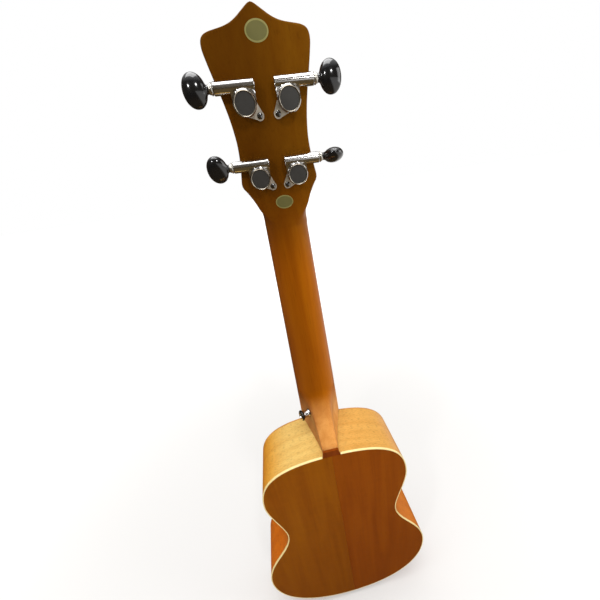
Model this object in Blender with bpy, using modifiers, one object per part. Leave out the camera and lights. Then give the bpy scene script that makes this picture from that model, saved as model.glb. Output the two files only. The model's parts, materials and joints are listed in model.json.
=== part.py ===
"""A concert ukulele, built from separate pieces, in metres.

It stands upright: +Z runs along the neck to the head, the soundboard faces -Y, the back faces +Y,
and the treble side is at +X. Z = 0 is the end pin's foot, and the origin lies under the middle of the box.
"""

from math import atan2, cos, pi, radians, sin

import bmesh
import bpy
from mathutils import Matrix, Vector
from mathutils.geometry import interpolate_bezier

# Clearances.
GLUE = 0.0003  # between pieces that are glued or screwed together
SEAM = 0.0002  # from the middle plane to each half of the back and sides
RUN = 0.0003  # around pieces that turn
SUNK = 0.0002  # how far shapes reach into each other where they are joined into one piece

# Body outline: half-widths, their distances below the neck joint, and how far each curve leans on its ends.
BODY_LENGTH = 0.2785
UPPER_HALF = 0.0797
UPPER_DROP = 0.0524
WAIST_HALF = 0.0655
WAIST_DROP = 0.1104
LOWER_HALF = 0.1024
LOWER_DROP = 0.1996
SHOULDER_LEANS = (0.0564, 0.0369)
UPPER_LEANS = (0.0178, 0.0139)
LOWER_LEANS = (0.0318, 0.0424)
TAIL_LEANS = (0.0427, 0.0678)
CURVE_STEPS = 8

# Body plates and sides.
BODY_DEPTH = 0.0649
TOP_THICK = 0.0022
BACK_THICK = 0.0024
SIDE_THICK = 0.0020
BINDING_WIDE = 0.0012
HOLE_RADIUS = 0.0290
HOLE_DROP = 0.0900
ROSETTE_INNER = 0.0315
ROSETTE_OUTER = 0.0350
ROSETTE_THICK = 0.0009

# Inside the body.
LINING_HIGH = 0.0080
LINING_THICK = 0.0045
BLOCK_HALF = 0.0240
NECK_BLOCK_LONG = 0.0260
TAIL_BLOCK_LONG = 0.0140
BRACE_WIDE = 0.0060
BRACE_HIGH = 0.0095
BRACE_DROPS = {"top_brace_upper": 0.054, "top_brace_lower": 0.128, "back_brace_upper": 0.060, "back_brace_lower": 0.190}
BRIDGE_PLATE = (0.072, 0.0018, 0.024)

# Neck, fingerboard and nut.
NECK_LENGTH = 0.2134
NUT_WIDTH = 0.0360
JOINT_WIDTH = 0.0442
NECK_DEEP_NUT = 0.0149
NECK_DEEP_HEEL = 0.0172
HEEL_RISE = 0.0065
HEEL_CURVE = 0.0440
HEEL_CAP_HALF = 0.0090
HEEL_CAP_THICK = 0.0025
RIDGE_HALF = 0.0079  # half the width of the heel's ridge at its foot
RIDGE_SPREAD = 0.0025  # how much wider each side the ridge is where the heel leaves the shaft
RIDGE_DROP = 0.0026  # depth over which the ridge's edges round off
CHEEK_BOW = 1.15  # power of the cheek's curve at the body
CHEEK_HOLLOW = 1.9  # added to that power above the body, which hollows the cheeks
CHEEK_RISE = 0.0180  # height over which the hollow grows
CHEEK_STEPS = 7
RIDGE_STEPS = 3
BOARD_THICK = 0.0050
BOARD_OVERLAP = 0.0370
NUT_LONG = 0.0045
NUT_HIGH = 0.0076

# Headstock.
HEAD_TILT = radians(13.6)
HEAD_THICK = 0.0115
VENEER_THICK = 0.0016
HEAD_START = 0.0030

# Bridge and saddle.
SADDLE_DROP = 0.1666
BRIDGE_WIDE = 0.0780
BRIDGE_LONG = 0.0230
BRIDGE_HIGH = 0.0070
SADDLE_WIDE = 0.0600
SADDLE_THICK = 0.0026
SADDLE_RISE = 0.0026
SADDLE_DEEP = 0.0040

# Strings, from the treble side to the bass side.
STRING_RADII = {"a": 0.00032, "e": 0.00040, "c": 0.00045, "g": 0.00034}
NUT_SPACING = 0.0090
SADDLE_SPACING = 0.0135

# Tuners: post places on the head (half-spacing, distance up the head), then the sizes they all share.
TUNER_PLACES = {"a": (0.0137, 0.0412), "e": (0.0138, 0.0834), "c": (-0.0140, 0.0834), "g": (-0.0131, 0.0410)}
BUTTON_TURNS = {"a": radians(76), "e": radians(98), "c": radians(-80), "g": radians(22)}
GEAR_TEETH = 14
GEAR_RADIUS = 0.0060
GEAR_THICK = 0.0024
WORM_RADIUS = 0.0022
TOOTH_REACH = 0.00035
WORM_SHANK = 0.0015
SHAFT_RADIUS = 0.0016
HOUSING_WALL = 0.00065
HOUSING_HIGH = 0.0090
TUBE_OUTER_END = 0.0168
CAP_RADIUS = 0.0068
CAP_HIGH = 0.0016
EAR_RADIUS = 0.0030
EAR_THICK = 0.0016
EAR_TURN = radians(-140)
TUNER_SCREW = (0.0012, 0.0009)
POST_RADIUS = 0.0030
POST_REACH = 0.0125
BUSHING_WALL = 0.0017
BUSHING_RIM = 0.0016
BUSHING_HIGH = 0.0018
COLLAR_LONG = 0.0026
BUTTON_LONG = 0.0152
BUTTON_WIDE = 0.0178
BUTTON_THICK = 0.0090

# Strap button and end pin.
PIN_SHANK = 0.0022
PIN_BUTTON = 0.0060
PIN_WAIST = 0.0034
PIN_FLARE = 0.0012
PIN_LONG = 0.0105
STRAP_RISE = 0.0210
STRAP_DEPTH = 0.0191

# Places that follow from the sizes.
SADDLE_TOP = BRIDGE_HIGH + SADDLE_RISE
TOP_Y = -(BODY_DEPTH - SADDLE_TOP) / 2
BACK_Y = TOP_Y + BODY_DEPTH
TAIL_Z = PIN_LONG
JOINT_Z = TAIL_Z + BODY_LENGTH
NUT_Z = JOINT_Z + NECK_LENGTH
SADDLE_Z = JOINT_Z - SADDLE_DROP
HEEL_BOTTOM_Y = BACK_Y - HEEL_CAP_THICK - GLUE
GEAR_TO_WORM = GEAR_RADIUS + WORM_RADIUS
HOUSING_RADIUS = GEAR_RADIUS + TOOTH_REACH + RUN + HOUSING_WALL
TUBE_RADIUS = WORM_RADIUS + TOOTH_REACH + RUN + HOUSING_WALL
TUBE_INNER_END = -HOUSING_RADIUS - 0.0006
BUTTON_GAP = TUBE_OUTER_END + COLLAR_LONG
BUSHING_RADIUS = POST_RADIUS + RUN + BUSHING_WALL
EAR_REACH = HOUSING_RADIUS + EAR_RADIUS
EAR_PLACE = (EAR_REACH * cos(EAR_TURN), EAR_REACH * sin(EAR_TURN))
PIN_Y = TOP_Y + BODY_DEPTH / 2

WOODS = {
    "top_wood": ((0.62, 0.36, 0.14), 0.40, 0.0),
    "back_wood": ((0.28, 0.11, 0.02), 0.35, 0.0),
    "side_wood": ((0.78, 0.46, 0.14), 0.35, 0.0),
    "neck_wood": ((0.48, 0.20, 0.05), 0.38, 0.0),
    "inner_wood": ((0.66, 0.48, 0.28), 0.70, 0.0),
    "dark_wood": ((0.10, 0.04, 0.02), 0.45, 0.0),
    "cream": ((0.88, 0.78, 0.52), 0.35, 0.0),
    "bone": ((0.85, 0.82, 0.74), 0.35, 0.0),
    "chrome": ((0.80, 0.80, 0.80), 0.08, 1.0),
    "black_plastic": ((0.01, 0.01, 0.01), 0.12, 0.0),
    "string": ((0.80, 0.80, 0.78), 0.30, 0.0),
}


# Making and joining shapes.

def clear_scene():
    for obj in list(bpy.data.objects):
        bpy.data.objects.remove(obj, do_unlink=True)


def collection(name):
    made = bpy.data.collections.new(name)
    bpy.context.scene.collection.children.link(made)
    return made


def material(name):
    if name in bpy.data.materials:
        return bpy.data.materials[name]
    colour, roughness, metallic = WOODS[name]
    made = bpy.data.materials.new(name)
    made.use_nodes = True
    shader = made.node_tree.nodes["Principled BSDF"]
    shader.inputs["Base Color"].default_value = (*colour, 1)
    shader.inputs["Roughness"].default_value = roughness
    shader.inputs["Metallic"].default_value = metallic
    return made


def add(name, mesh, finish=None, parent=None):
    """A new object of this mesh, a part when it has a finish and otherwise a cutter."""
    obj = bpy.data.objects.new(name, mesh)
    if finish:
        PARTS.objects.link(obj)
        mesh.materials.append(material(finish))
        mesh.shade_smooth()
        mesh.set_sharp_from_angle(angle=radians(30))
    else:
        CUTTERS.objects.link(obj)
        obj.hide_render = True
        obj.display_type = "WIRE"
    obj.parent = parent
    return obj


def mesh_from(name, bm):
    bmesh.ops.recalc_face_normals(bm, faces=bm.faces)
    mesh = bpy.data.meshes.new(name)
    bm.to_mesh(mesh)
    bm.free()
    return mesh


def curve_mesh(name, data):
    """The curve's mesh, with its loose caps welded, and the curve removed."""
    guide = bpy.data.objects.new(name, data)
    bpy.context.scene.collection.objects.link(guide)
    graph = bpy.context.evaluated_depsgraph_get()
    mesh = bpy.data.meshes.new_from_object(guide.evaluated_get(graph))
    bpy.data.objects.remove(guide)
    bpy.data.curves.remove(data)
    bm = bmesh.new()
    bm.from_mesh(mesh)
    bmesh.ops.remove_doubles(bm, verts=bm.verts, dist=1e-6)
    bpy.data.meshes.remove(mesh)
    return bm


def poly_curve(name, lines, dimensions, cyclic):
    data = bpy.data.curves.new(name, "CURVE")
    data.dimensions = dimensions
    for line in lines:
        spline = data.splines.new("POLY")
        spline.points.add(len(line) - 1)
        for place, point in zip(spline.points, line):
            place.co = (*point, 0, 1) if len(point) == 2 else (*point, 1)
        spline.use_cyclic_u = cyclic
    return data


def plate(name, outline, front, thick, finish=None, parent=None, holes=()):
    """A flat piece: an outline in X and Z, and any holes, filled from depth front to front + thick along Y."""
    data = poly_curve(name, (outline, *holes), "2D", True)
    data.fill_mode = "BOTH"
    data.extrude = thick / 2
    bm = curve_mesh(name, data)
    bm.transform(Matrix.Translation((0, front + thick / 2, 0)) @ Matrix.Rotation(pi / 2, 4, "X"))
    return add(name, mesh_from(name, bm), finish, parent)


def strip(name, line, front, back, thick, finish):
    """A strip bent along a line in X and Z, from depth front to back along Y, with its thickness inwards."""
    bm = bmesh.new()
    rows = [[bm.verts.new((x, y, z)) for x, z in line] for y in (front, back)]
    for i in range(len(line) - 1):
        bm.faces.new((rows[0][i], rows[0][i + 1], rows[1][i + 1], rows[1][i]))
    mesh = bpy.data.meshes.new(name)
    bm.to_mesh(mesh)
    bm.free()
    obj = add(name, mesh, finish)
    wall = obj.modifiers.new("thickness", "SOLIDIFY")
    wall.thickness = thick
    wall.offset = -1
    wall.use_even_offset = True
    return obj


def box(name, low, high, finish=None, parent=None):
    bm = bmesh.new()
    bmesh.ops.create_cube(bm, size=1)
    size = Vector(high) - Vector(low)
    middle = (Vector(high) + Vector(low)) / 2
    bm.transform(Matrix.Translation(middle) @ Matrix.Diagonal((*size, 1)))
    return add(name, mesh_from(name, bm), finish, parent)


def turned(name, profile, finish=None, parent=None, turn=Matrix.Identity(4), steps=18):
    """A turned piece: (radius, height) pairs down its outer side, spun about Z, then turned into place."""
    bm = bmesh.new()
    rings = []
    for radius, height in profile:
        if radius < 1e-7:
            rings.append([bm.verts.new((0, 0, height))])
            continue
        angles = [2 * pi * i / steps for i in range(steps)]
        rings.append([bm.verts.new((radius * cos(a), radius * sin(a), height)) for a in angles])
    for upper, lower in zip(rings, rings[1:]):
        for i in range(steps):
            j = (i + 1) % steps
            corners = [upper[i % len(upper)], upper[j % len(upper)], lower[j % len(lower)], lower[i % len(lower)]]
            bm.faces.new(list(dict.fromkeys(corners)))
    for ring in (rings[0], rings[-1]):
        if len(ring) > 1:
            bm.faces.new(ring)
    bm.transform(turn)
    return add(name, mesh_from(name, bm), finish, parent)


def loft(bm, rings):
    """Joins rings of equally many points, and closes both ends."""
    rows = [[bm.verts.new(point) for point in ring] for ring in rings]
    for first, second in zip(rows, rows[1:]):
        for i in range(len(first)):
            j = (i + 1) % len(first)
            bm.faces.new((first[i], first[j], second[j], second[i]))
    bm.faces.new(rows[0])
    bm.faces.new(rows[-1])


def boolean(obj, other, operation="DIFFERENCE"):
    step = obj.modifiers.new(other.name, "BOOLEAN")
    step.operation = operation
    step.object = other
    step.solver = "EXACT"


def empty(name, place, turn=(0, 0, 0), parent=None):
    obj = bpy.data.objects.new(name, None)
    PARTS.objects.link(obj)
    obj.location = place
    obj.rotation_euler = turn
    obj.parent = parent
    return obj


# The body.

def half_outline(inset=0.0):
    """The treble half of the body's edge, from the neck joint to the tail, moved inwards by inset."""
    knots = (
        (Vector((0, JOINT_Z)), Vector((1, 0)), 0, SHOULDER_LEANS[0]),
        (Vector((UPPER_HALF, JOINT_Z - UPPER_DROP)), Vector((0, -1)), SHOULDER_LEANS[1], UPPER_LEANS[0]),
        (Vector((WAIST_HALF, JOINT_Z - WAIST_DROP)), Vector((0, -1)), UPPER_LEANS[1], LOWER_LEANS[0]),
        (Vector((LOWER_HALF, JOINT_Z - LOWER_DROP)), Vector((0, -1)), LOWER_LEANS[1], TAIL_LEANS[0]),
        (Vector((0, JOINT_Z - BODY_LENGTH)), Vector((-1, 0)), TAIL_LEANS[1], 0),
    )
    line = []
    for (start, leave, _, out), (end, arrive, into, _) in zip(knots, knots[1:]):
        arc = interpolate_bezier(start, start + leave * out, end - arrive * into, end, CURVE_STEPS)
        line += arc[:-1]
    line.append(knots[-1][0])
    moved = []
    for i, point in enumerate(line):
        before = line[max(i - 1, 0)]
        after = line[min(i + 1, len(line) - 1)]
        along = (after - before).normalized()
        inwards = Vector((along.y, -along.x))
        if i in (0, len(line) - 1):
            inwards = Vector((0, -1 if i == 0 else 1))
        moved.append(point + inwards * inset)
    return [(point.x, point.y) for point in moved]


def mirrored(line):
    return [(-x, z) for x, z in line]


def full_outline(inset=0.0):
    half = half_outline(inset)
    return half + mirrored(half[1:-1])[::-1]


def crossing(line, axis, value):
    """Where a line first crosses x = value (axis 0) or z = value (axis 1)."""
    for first, second in zip(line, line[1:]):
        low, high = sorted((first[axis], second[axis]))
        if low <= value <= high and high > low:
            share = (value - first[axis]) / (second[axis] - first[axis])
            return tuple(a + share * (b - a) for a, b in zip(first, second))
    raise ValueError("the outline does not reach that far")


def open_line(inset, half_gap):
    """The body's edge all the way round, leaving out a gap at the neck joint."""
    half = half_outline(inset)
    start = crossing(half, 0, half_gap)
    rest = [point for point in half if point[0] > half_gap or point[1] < start[1] - half_gap]
    side = [start, *rest[:-1]]
    return side + [half[-1]] + mirrored(side)[::-1]


def circle(radius, centre, steps=32):
    angles = [2 * pi * i / steps for i in range(steps)]
    return [(centre[0] + radius * cos(a), centre[1] + radius * sin(a)) for a in angles]


def make_plates():
    centre = (0, JOINT_Z - HOLE_DROP)
    board = plate("soundboard", full_outline(), TOP_Y, TOP_THICK, "top_wood", holes=[circle(HOLE_RADIUS, centre)])
    groove = plate(
        "rosette_groove", circle(ROSETTE_OUTER + GLUE, centre), TOP_Y - ROSETTE_THICK, 2 * ROSETTE_THICK + GLUE,
        holes=[circle(ROSETTE_INNER - GLUE, centre)],
    )
    boolean(board, groove)
    plate(
        "rosette", circle(ROSETTE_OUTER, centre), TOP_Y, ROSETTE_THICK, "dark_wood",
        holes=[circle(ROSETTE_INNER, centre)],
    )
    half = half_outline(BINDING_WIDE + GLUE)
    half = [(max(x, SEAM), z) for x, z in half]
    back = BACK_Y - BACK_THICK
    plate("back_treble", half, back, BACK_THICK, "back_wood")
    plate("back_bass", mirrored(half), back, BACK_THICK, "back_wood")


def make_sides():
    front = TOP_Y + TOP_THICK + GLUE
    back = BACK_Y - BACK_THICK - GLUE
    half = half_outline()
    hole = turned("pin_hole", ((PIN_SHANK + GLUE, 0.03), (PIN_SHANK + GLUE, -0.03)), turn=Matrix.Translation((0, PIN_Y, TAIL_Z)))
    for name, line, turn in (("side_treble", half, 1), ("side_bass", mirrored(half)[::-1], -1)):
        side = strip(name, line, front, back, SIDE_THICK, "side_wood")
        seam, far = sorted((SEAM * turn, -BODY_DEPTH * turn))
        boolean(side, box(f"{name}_end", (seam, front - BODY_DEPTH, 0), (far, back + BODY_DEPTH, NUT_Z)))
        boolean(side, hole)
    line = open_line(0.0, HEEL_CAP_HALF + GLUE)
    strip("binding_back", line, BACK_Y - BACK_THICK, BACK_Y, BINDING_WIDE, "cream")
    return hole


def make_linings():
    inset = SIDE_THICK + GLUE
    line = open_line(inset, BLOCK_HALF + LINING_THICK / 4)
    top = TOP_Y + TOP_THICK + GLUE
    back = BACK_Y - BACK_THICK - GLUE
    strip("lining_top", line, top, top + LINING_HIGH, LINING_THICK, "inner_wood")
    strip("lining_back", line, back - LINING_HIGH, back, LINING_THICK, "inner_wood")


def make_blocks(hole):
    half = half_outline(SIDE_THICK + GLUE)
    inside = [point for point in half if point[0] < BLOCK_HALF]
    upper = [point for point in inside if point[1] > JOINT_Z - BODY_LENGTH / 2]
    upper.append(crossing(half, 0, BLOCK_HALF))
    floor = JOINT_Z - NECK_BLOCK_LONG
    edge = mirrored(upper[1:])[::-1] + upper + [(BLOCK_HALF, floor), (-BLOCK_HALF, floor)]
    front = TOP_Y + TOP_THICK + GLUE
    plate("neck_block", edge, front, BACK_Y - BACK_THICK - GLUE - front, "inner_wood")
    lower = [point for point in inside if point[1] < JOINT_Z - BODY_LENGTH / 2]
    lower.insert(0, crossing(half[::-1], 0, BLOCK_HALF))
    roof = JOINT_Z - BODY_LENGTH + TAIL_BLOCK_LONG
    edge = lower + mirrored(lower[:-1])[::-1] + [(-BLOCK_HALF, roof), (BLOCK_HALF, roof)]
    front += LINING_HIGH + GLUE
    deep = BACK_Y - BACK_THICK - 2 * GLUE - LINING_HIGH - front
    boolean(plate("tail_block", edge, front, deep, "inner_wood"), hole)


def make_braces():
    inner = half_outline(SIDE_THICK + LINING_THICK + 3 * GLUE)
    for name, drop in BRACE_DROPS.items():
        low = JOINT_Z - drop - BRACE_WIDE / 2
        reach = min(crossing(inner, 1, low)[0], crossing(inner, 1, low + BRACE_WIDE)[0])
        if name.startswith("top"):
            foot, rise = TOP_Y + TOP_THICK + GLUE, BRACE_HIGH
        else:
            foot, rise = BACK_Y - BACK_THICK - GLUE, -BRACE_HIGH
        bm = bmesh.new()
        taper = BRACE_HIGH * 1.6
        face = ((-reach, foot), (reach, foot), (reach, foot + rise / 4), (reach - taper, foot + rise),
                (taper - reach, foot + rise), (-reach, foot + rise / 4))
        loft(bm, [[(x, y, z) for x, y in face] for z in (low, low + BRACE_WIDE)])
        add(name, mesh_from(name, bm), "inner_wood")
    wide, thick, tall = BRIDGE_PLATE
    front = TOP_Y + TOP_THICK + GLUE
    middle = SADDLE_Z - BRIDGE_LONG / 5
    box("bridge_plate", (-wide / 2, front, middle - tall / 2), (wide / 2, front + thick, middle + tall / 2), "inner_wood")


# The bridge.

def string_place(name, spacing):
    """How far across a string lies, at this spacing."""
    order = list(STRING_RADII)
    return (1.5 - order.index(name)) * spacing


def make_bridge():
    foot = TOP_Y - GLUE
    low = SADDLE_Z - BRIDGE_LONG * 0.7
    high = low + BRIDGE_LONG
    bridge = box("bridge", (-BRIDGE_WIDE / 2, foot - BRIDGE_HIGH, low), (BRIDGE_WIDE / 2, foot, high), "dark_wood")
    bevel = bridge.modifiers.new("edges", "BEVEL")
    bevel.width = 0.0016
    bevel.segments = 2
    bevel.limit_method = "ANGLE"
    slot_half = SADDLE_WIDE / 2 + GLUE
    slot = box(
        "saddle_slot", (-slot_half, foot - 2 * BRIDGE_HIGH, SADDLE_Z - GLUE - SADDLE_THICK / 2),
        (slot_half, foot - BRIDGE_HIGH + SADDLE_DEEP + GLUE, SADDLE_Z + GLUE + SADDLE_THICK / 2),
    )
    boolean(bridge, slot)
    for name, radius in STRING_RADII.items():
        x = string_place(name, SADDLE_SPACING)
        half = radius + RUN
        groove = box(
            f"string_groove_{name}", (x - half, foot - 2 * BRIDGE_HIGH, low - BRIDGE_LONG),
            (x + half, string_anchor_y() + half, SADDLE_Z - SADDLE_THICK),
        )
        boolean(bridge, groove)
    box(
        "saddle", (-SADDLE_WIDE / 2, TOP_Y - SADDLE_TOP, SADDLE_Z - SADDLE_THICK / 2),
        (SADDLE_WIDE / 2, foot - BRIDGE_HIGH + SADDLE_DEEP, SADDLE_Z + SADDLE_THICK / 2), "bone",
    )


def string_anchor_y():
    return TOP_Y - GLUE - BRIDGE_HIGH * 0.45


# The neck and the head.

def head_point(x, up, out):
    """A point of the head in part coordinates: across, up along its back face, and out behind it."""
    y = HEAD_Y + up * sin(HEAD_TILT) + out * cos(HEAD_TILT)
    return (x, y, NUT_Z + up * cos(HEAD_TILT) - out * sin(HEAD_TILT))


HEAD_Y = TOP_Y + NECK_DEEP_NUT


def neck_half(z):
    share = (NUT_Z - z) / NECK_LENGTH
    return NUT_WIDTH / 2 + share * (JOINT_WIDTH - NUT_WIDTH) / 2


def neck_depth(z):
    """How deep the neck is behind the soundboard's plane, down to the heel's foot."""
    above = z - JOINT_Z
    share = (NUT_Z - z) / NECK_LENGTH
    shaft = NECK_DEEP_NUT + share * (NECK_DEEP_HEEL - NECK_DEEP_NUT)
    foot = HEEL_BOTTOM_Y - TOP_Y
    climb = min(max((above - HEEL_RISE) / HEEL_CURVE, 0), 1)
    return shaft + (foot - shaft) * (1 - climb) ** 2.6


def neck_side(z):
    """Half of the neck's section, from its front edge to its middle behind: a round shaft that turns into the heel's hollow
    cheek and flat ridge."""
    half = neck_half(z)
    deep = neck_depth(z)
    above = max(z - JOINT_Z, 0)
    heel = min(max((deep - NECK_DEEP_HEEL) / (HEEL_BOTTOM_Y - TOP_Y - NECK_DEEP_HEEL), 0), 1) ** 0.5
    ridge = RIDGE_HALF + RIDGE_SPREAD * min(above / HEEL_CURVE, 1)
    bow = CHEEK_BOW + CHEEK_HOLLOW * min(above / CHEEK_RISE, 1)
    side = []
    for i in range(CHEEK_STEPS + RIDGE_STEPS + 1):
        angle = pi / 2 * i / (CHEEK_STEPS + RIDGE_STEPS)
        shaft = Vector((half * abs(cos(angle)) ** 0.9, deep * sin(angle) ** 0.95))
        if i <= CHEEK_STEPS:
            down = i / CHEEK_STEPS
            cheek = Vector((ridge + (half - ridge) * (1 - down) ** bow, (deep - RIDGE_DROP) * down))
        else:
            turn = pi / 2 * (i - CHEEK_STEPS) / RIDGE_STEPS
            cheek = Vector((ridge * abs(cos(turn)) ** 0.6, deep - RIDGE_DROP * (1 - sin(turn) ** 0.6)))
        side.append(shaft.lerp(cheek, heel))
    return side


def neck_ring(z):
    """The neck's whole section at one height."""
    side = [(max(point.x, neck_half(z) / 200), TOP_Y + point.y, z) for point in neck_side(z)]
    return side + [(-x, y, z) for x, y, z in reversed(side)]


def head_outline():
    """The head's edge, as (across, up): a flared foot, a waist, and shoulders that rise to a small peak."""
    foot = [(0.0178, HEAD_START), (0.0178, 0.0100), (0.0198, 0.0190), (0.0226, 0.0262), (0.0256, 0.0318)]
    corner = [(0.0276, 0.0345), (0.0281, 0.0372), (0.0271, 0.0425)]
    waist = [(0.0252, 0.0535), (0.0246, 0.0650), (0.0261, 0.0780), (0.0286, 0.0910), (0.0309, 0.1030)]
    shoulder = [(0.0319, 0.1085), (0.0318, 0.1118), (0.0304, 0.1143), (0.0272, 0.1161)]
    crest = [(0.0230, 0.1171), (0.0182, 0.1179), (0.0136, 0.1190), (0.0092, 0.1211), (0.0045, 0.1240)]
    half = foot + corner + waist + shoulder + crest
    return half + [(0, 0.1263)] + mirrored(half)[::-1]


def make_neck():
    bm = bmesh.new()
    low = JOINT_Z + GLUE
    rings = []
    for i in range(13):
        rings.append(neck_ring(low + (HEEL_RISE + HEEL_CURVE) * i / 12))
    top = NUT_Z
    for i in range(1, 6):
        z = low + HEEL_RISE + HEEL_CURVE
        rings.append(neck_ring(z + (top - z) * i / 5))
    for up in (HEAD_START * 0.8, HEAD_START * 3):
        tip = []
        for x, y, _ in neck_ring(NUT_Z):
            share = (y - TOP_Y) / NECK_DEEP_NUT
            tip.append(head_point(x * 0.97, up, (HEAD_THICK - 2 * SUNK) * (share - 1) - SUNK))
        rings.append(tip)
    loft(bm, rings)
    neck = add("neck", mesh_from("neck", bm), "neck_wood")
    head = plate("head_blank", head_outline(), -HEAD_THICK, HEAD_THICK, parent=HEAD)
    boolean(neck, head, "UNION")
    veneer = plate("head_veneer", head_outline(), -HEAD_THICK - GLUE - VENEER_THICK, VENEER_THICK, "neck_wood", HEAD)
    for name, (x, up) in TUNER_PLACES.items():
        radius = BUSHING_RADIUS + GLUE
        turn = Matrix.Translation((x, 0, up)) @ Matrix.Rotation(-pi / 2, 4, "X")
        hole = turned(f"post_hole_{name}", ((radius, 0.03), (radius, -0.03)), parent=HEAD, turn=turn)
        boolean(neck, hole)
        boolean(veneer, hole)
    return neck


def make_heel_cap():
    """The plate over the heel's foot, in line with the back."""
    high = JOINT_Z + HEEL_RISE + SUNK
    outline = [(HEEL_CAP_HALF, JOINT_Z + GLUE), (RIDGE_HALF, high), (-RIDGE_HALF, high), (-HEEL_CAP_HALF, JOINT_Z + GLUE)]
    plate("heel_cap", outline, BACK_Y - HEEL_CAP_THICK, HEEL_CAP_THICK, "dark_wood")


def make_fingerboard():
    front = TOP_Y - GLUE - BOARD_THICK
    low = JOINT_Z - BOARD_OVERLAP
    nut = NUT_WIDTH / 2
    wide = neck_half(low)
    top = NUT_Z - NUT_LONG / 2
    edge = [(nut, top), (wide, low), (-wide, low), (-nut, top)]
    plate("fingerboard", edge, front, BOARD_THICK, "dark_wood")
    box(
        "nut", (-nut, TOP_Y - GLUE - NUT_HIGH, top + GLUE), (nut, TOP_Y - GLUE, top + GLUE + NUT_LONG), "bone"
    )


# The tuners, each in its own frame: the post's axis is Y through the origin, and the button points to +X or -X.

def flipped(obj, side):
    """Mirrors a tuner piece for the bass side."""
    if side < 0:
        obj.data.transform(Matrix.Scale(-1, 4, (1, 0, 0)))
        obj.data.flip_normals()
    return obj


def along_x(x, y, z):
    """Turns a Z axis to +X and sets it at this place."""
    return Matrix.Translation((x, y, z)) @ Matrix.Rotation(pi / 2, 4, "Y")


def along_y(x, y, z):
    """Turns a Z axis to +Y, out behind the head, and sets it at this place."""
    return Matrix.Translation((x, y, z)) @ Matrix.Rotation(-pi / 2, 4, "X")


def gear_y():
    return GLUE + HOUSING_HIGH / 2


def make_housing(name, side, parent):
    """The closed box behind the head: a round well for the gear, a tube for the worm, and an ear for its screw."""
    well = turned(
        f"housing_{name}", ((HOUSING_RADIUS, HOUSING_HIGH), (HOUSING_RADIUS, 0)), "chrome", parent,
        along_y(0, GLUE, 0), 20,
    )
    tube_turn = along_x(TUBE_INNER_END, gear_y(), GEAR_TO_WORM)
    long = TUBE_OUTER_END - TUBE_INNER_END
    tube = turned(f"tube_{name}", ((TUBE_RADIUS, long), (TUBE_RADIUS, 0)), None, parent, tube_turn, 14)
    bridge = box(
        f"shoulder_{name}", (TUBE_INNER_END + 0.0002, GLUE, 0), (HOUSING_RADIUS - 0.0003, HOUSING_HIGH - 0.0010, GEAR_TO_WORM),
        None, parent,
    )
    ear = plate(f"ear_{name}", ear_outline(), GLUE, EAR_THICK, None, parent)
    hollow = turned(
        f"well_{name}", ((GEAR_RADIUS + TOOTH_REACH + RUN, gear_y() + GEAR_THICK / 2 + RUN),
                         (GEAR_RADIUS + TOOTH_REACH + RUN, -0.002)),
        None, parent, along_y(0, 0, 0), 20,
    )
    bore = turned(
        f"bore_{name}", ((WORM_RADIUS + TOOTH_REACH + RUN, long + 0.002), (WORM_RADIUS + TOOTH_REACH + RUN, HOUSING_WALL)),
        None, parent, tube_turn, 14,
    )
    cover_seat = turned(
        f"seat_{name}", ((CAP_RADIUS - 0.0012 + GLUE, 0.002), (CAP_RADIUS - 0.0012 + GLUE, -0.0010)), None, parent,
        along_y(0, GLUE + HOUSING_HIGH, 0), 20,
    )
    screw_hole = turned(
        f"ear_hole_{name}", ((TUNER_SCREW[0] + GLUE, 0.006), (TUNER_SCREW[0] + GLUE, -0.006)), None, parent,
        along_y(EAR_PLACE[0], GLUE, EAR_PLACE[1]), 10,
    )
    for shape in (tube, bridge, ear, hollow, bore, cover_seat, screw_hole):
        flipped(shape, side)
    for shape in (tube, bridge, ear):
        boolean(well, shape, "UNION")
    for shape in (hollow, bore, cover_seat, screw_hole):
        boolean(well, shape)
    return flipped(well, side)


def ear_outline():
    """A tongue from the well's middle to round the screw."""
    out = Vector(EAR_PLACE)
    across = Vector((-out.y, out.x)).normalized() * EAR_RADIUS
    start = out.normalized() * HOUSING_RADIUS * 0.4
    turn = Vector((out.x, out.y)).normalized() * EAR_RADIUS
    tip = []
    for i in range(9):
        angle = pi / 2 - pi * i / 8
        tip.append(out + across * sin(angle) + turn * cos(angle))
    return [tuple(point) for point in (start + across, *tip, start - across)]


def make_cover(name, side, parent):
    """The round cover, with a raised rim and a sunk disc, plugged into the housing."""
    rim = CAP_RADIUS
    plug = CAP_RADIUS - 0.0012
    profile = (
        (0, CAP_HIGH - 0.0006), (rim - 0.0014, CAP_HIGH - 0.0006), (rim - 0.0011, CAP_HIGH), (rim - 0.0004, CAP_HIGH),
        (rim, CAP_HIGH - 0.0005), (rim, GLUE), (plug, GLUE), (plug, -0.0008), (0, -0.0008),
    )
    return flipped(turned(f"cover_{name}", profile, "chrome", parent, along_y(0, GLUE + HOUSING_HIGH, 0), 20), side)


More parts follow.
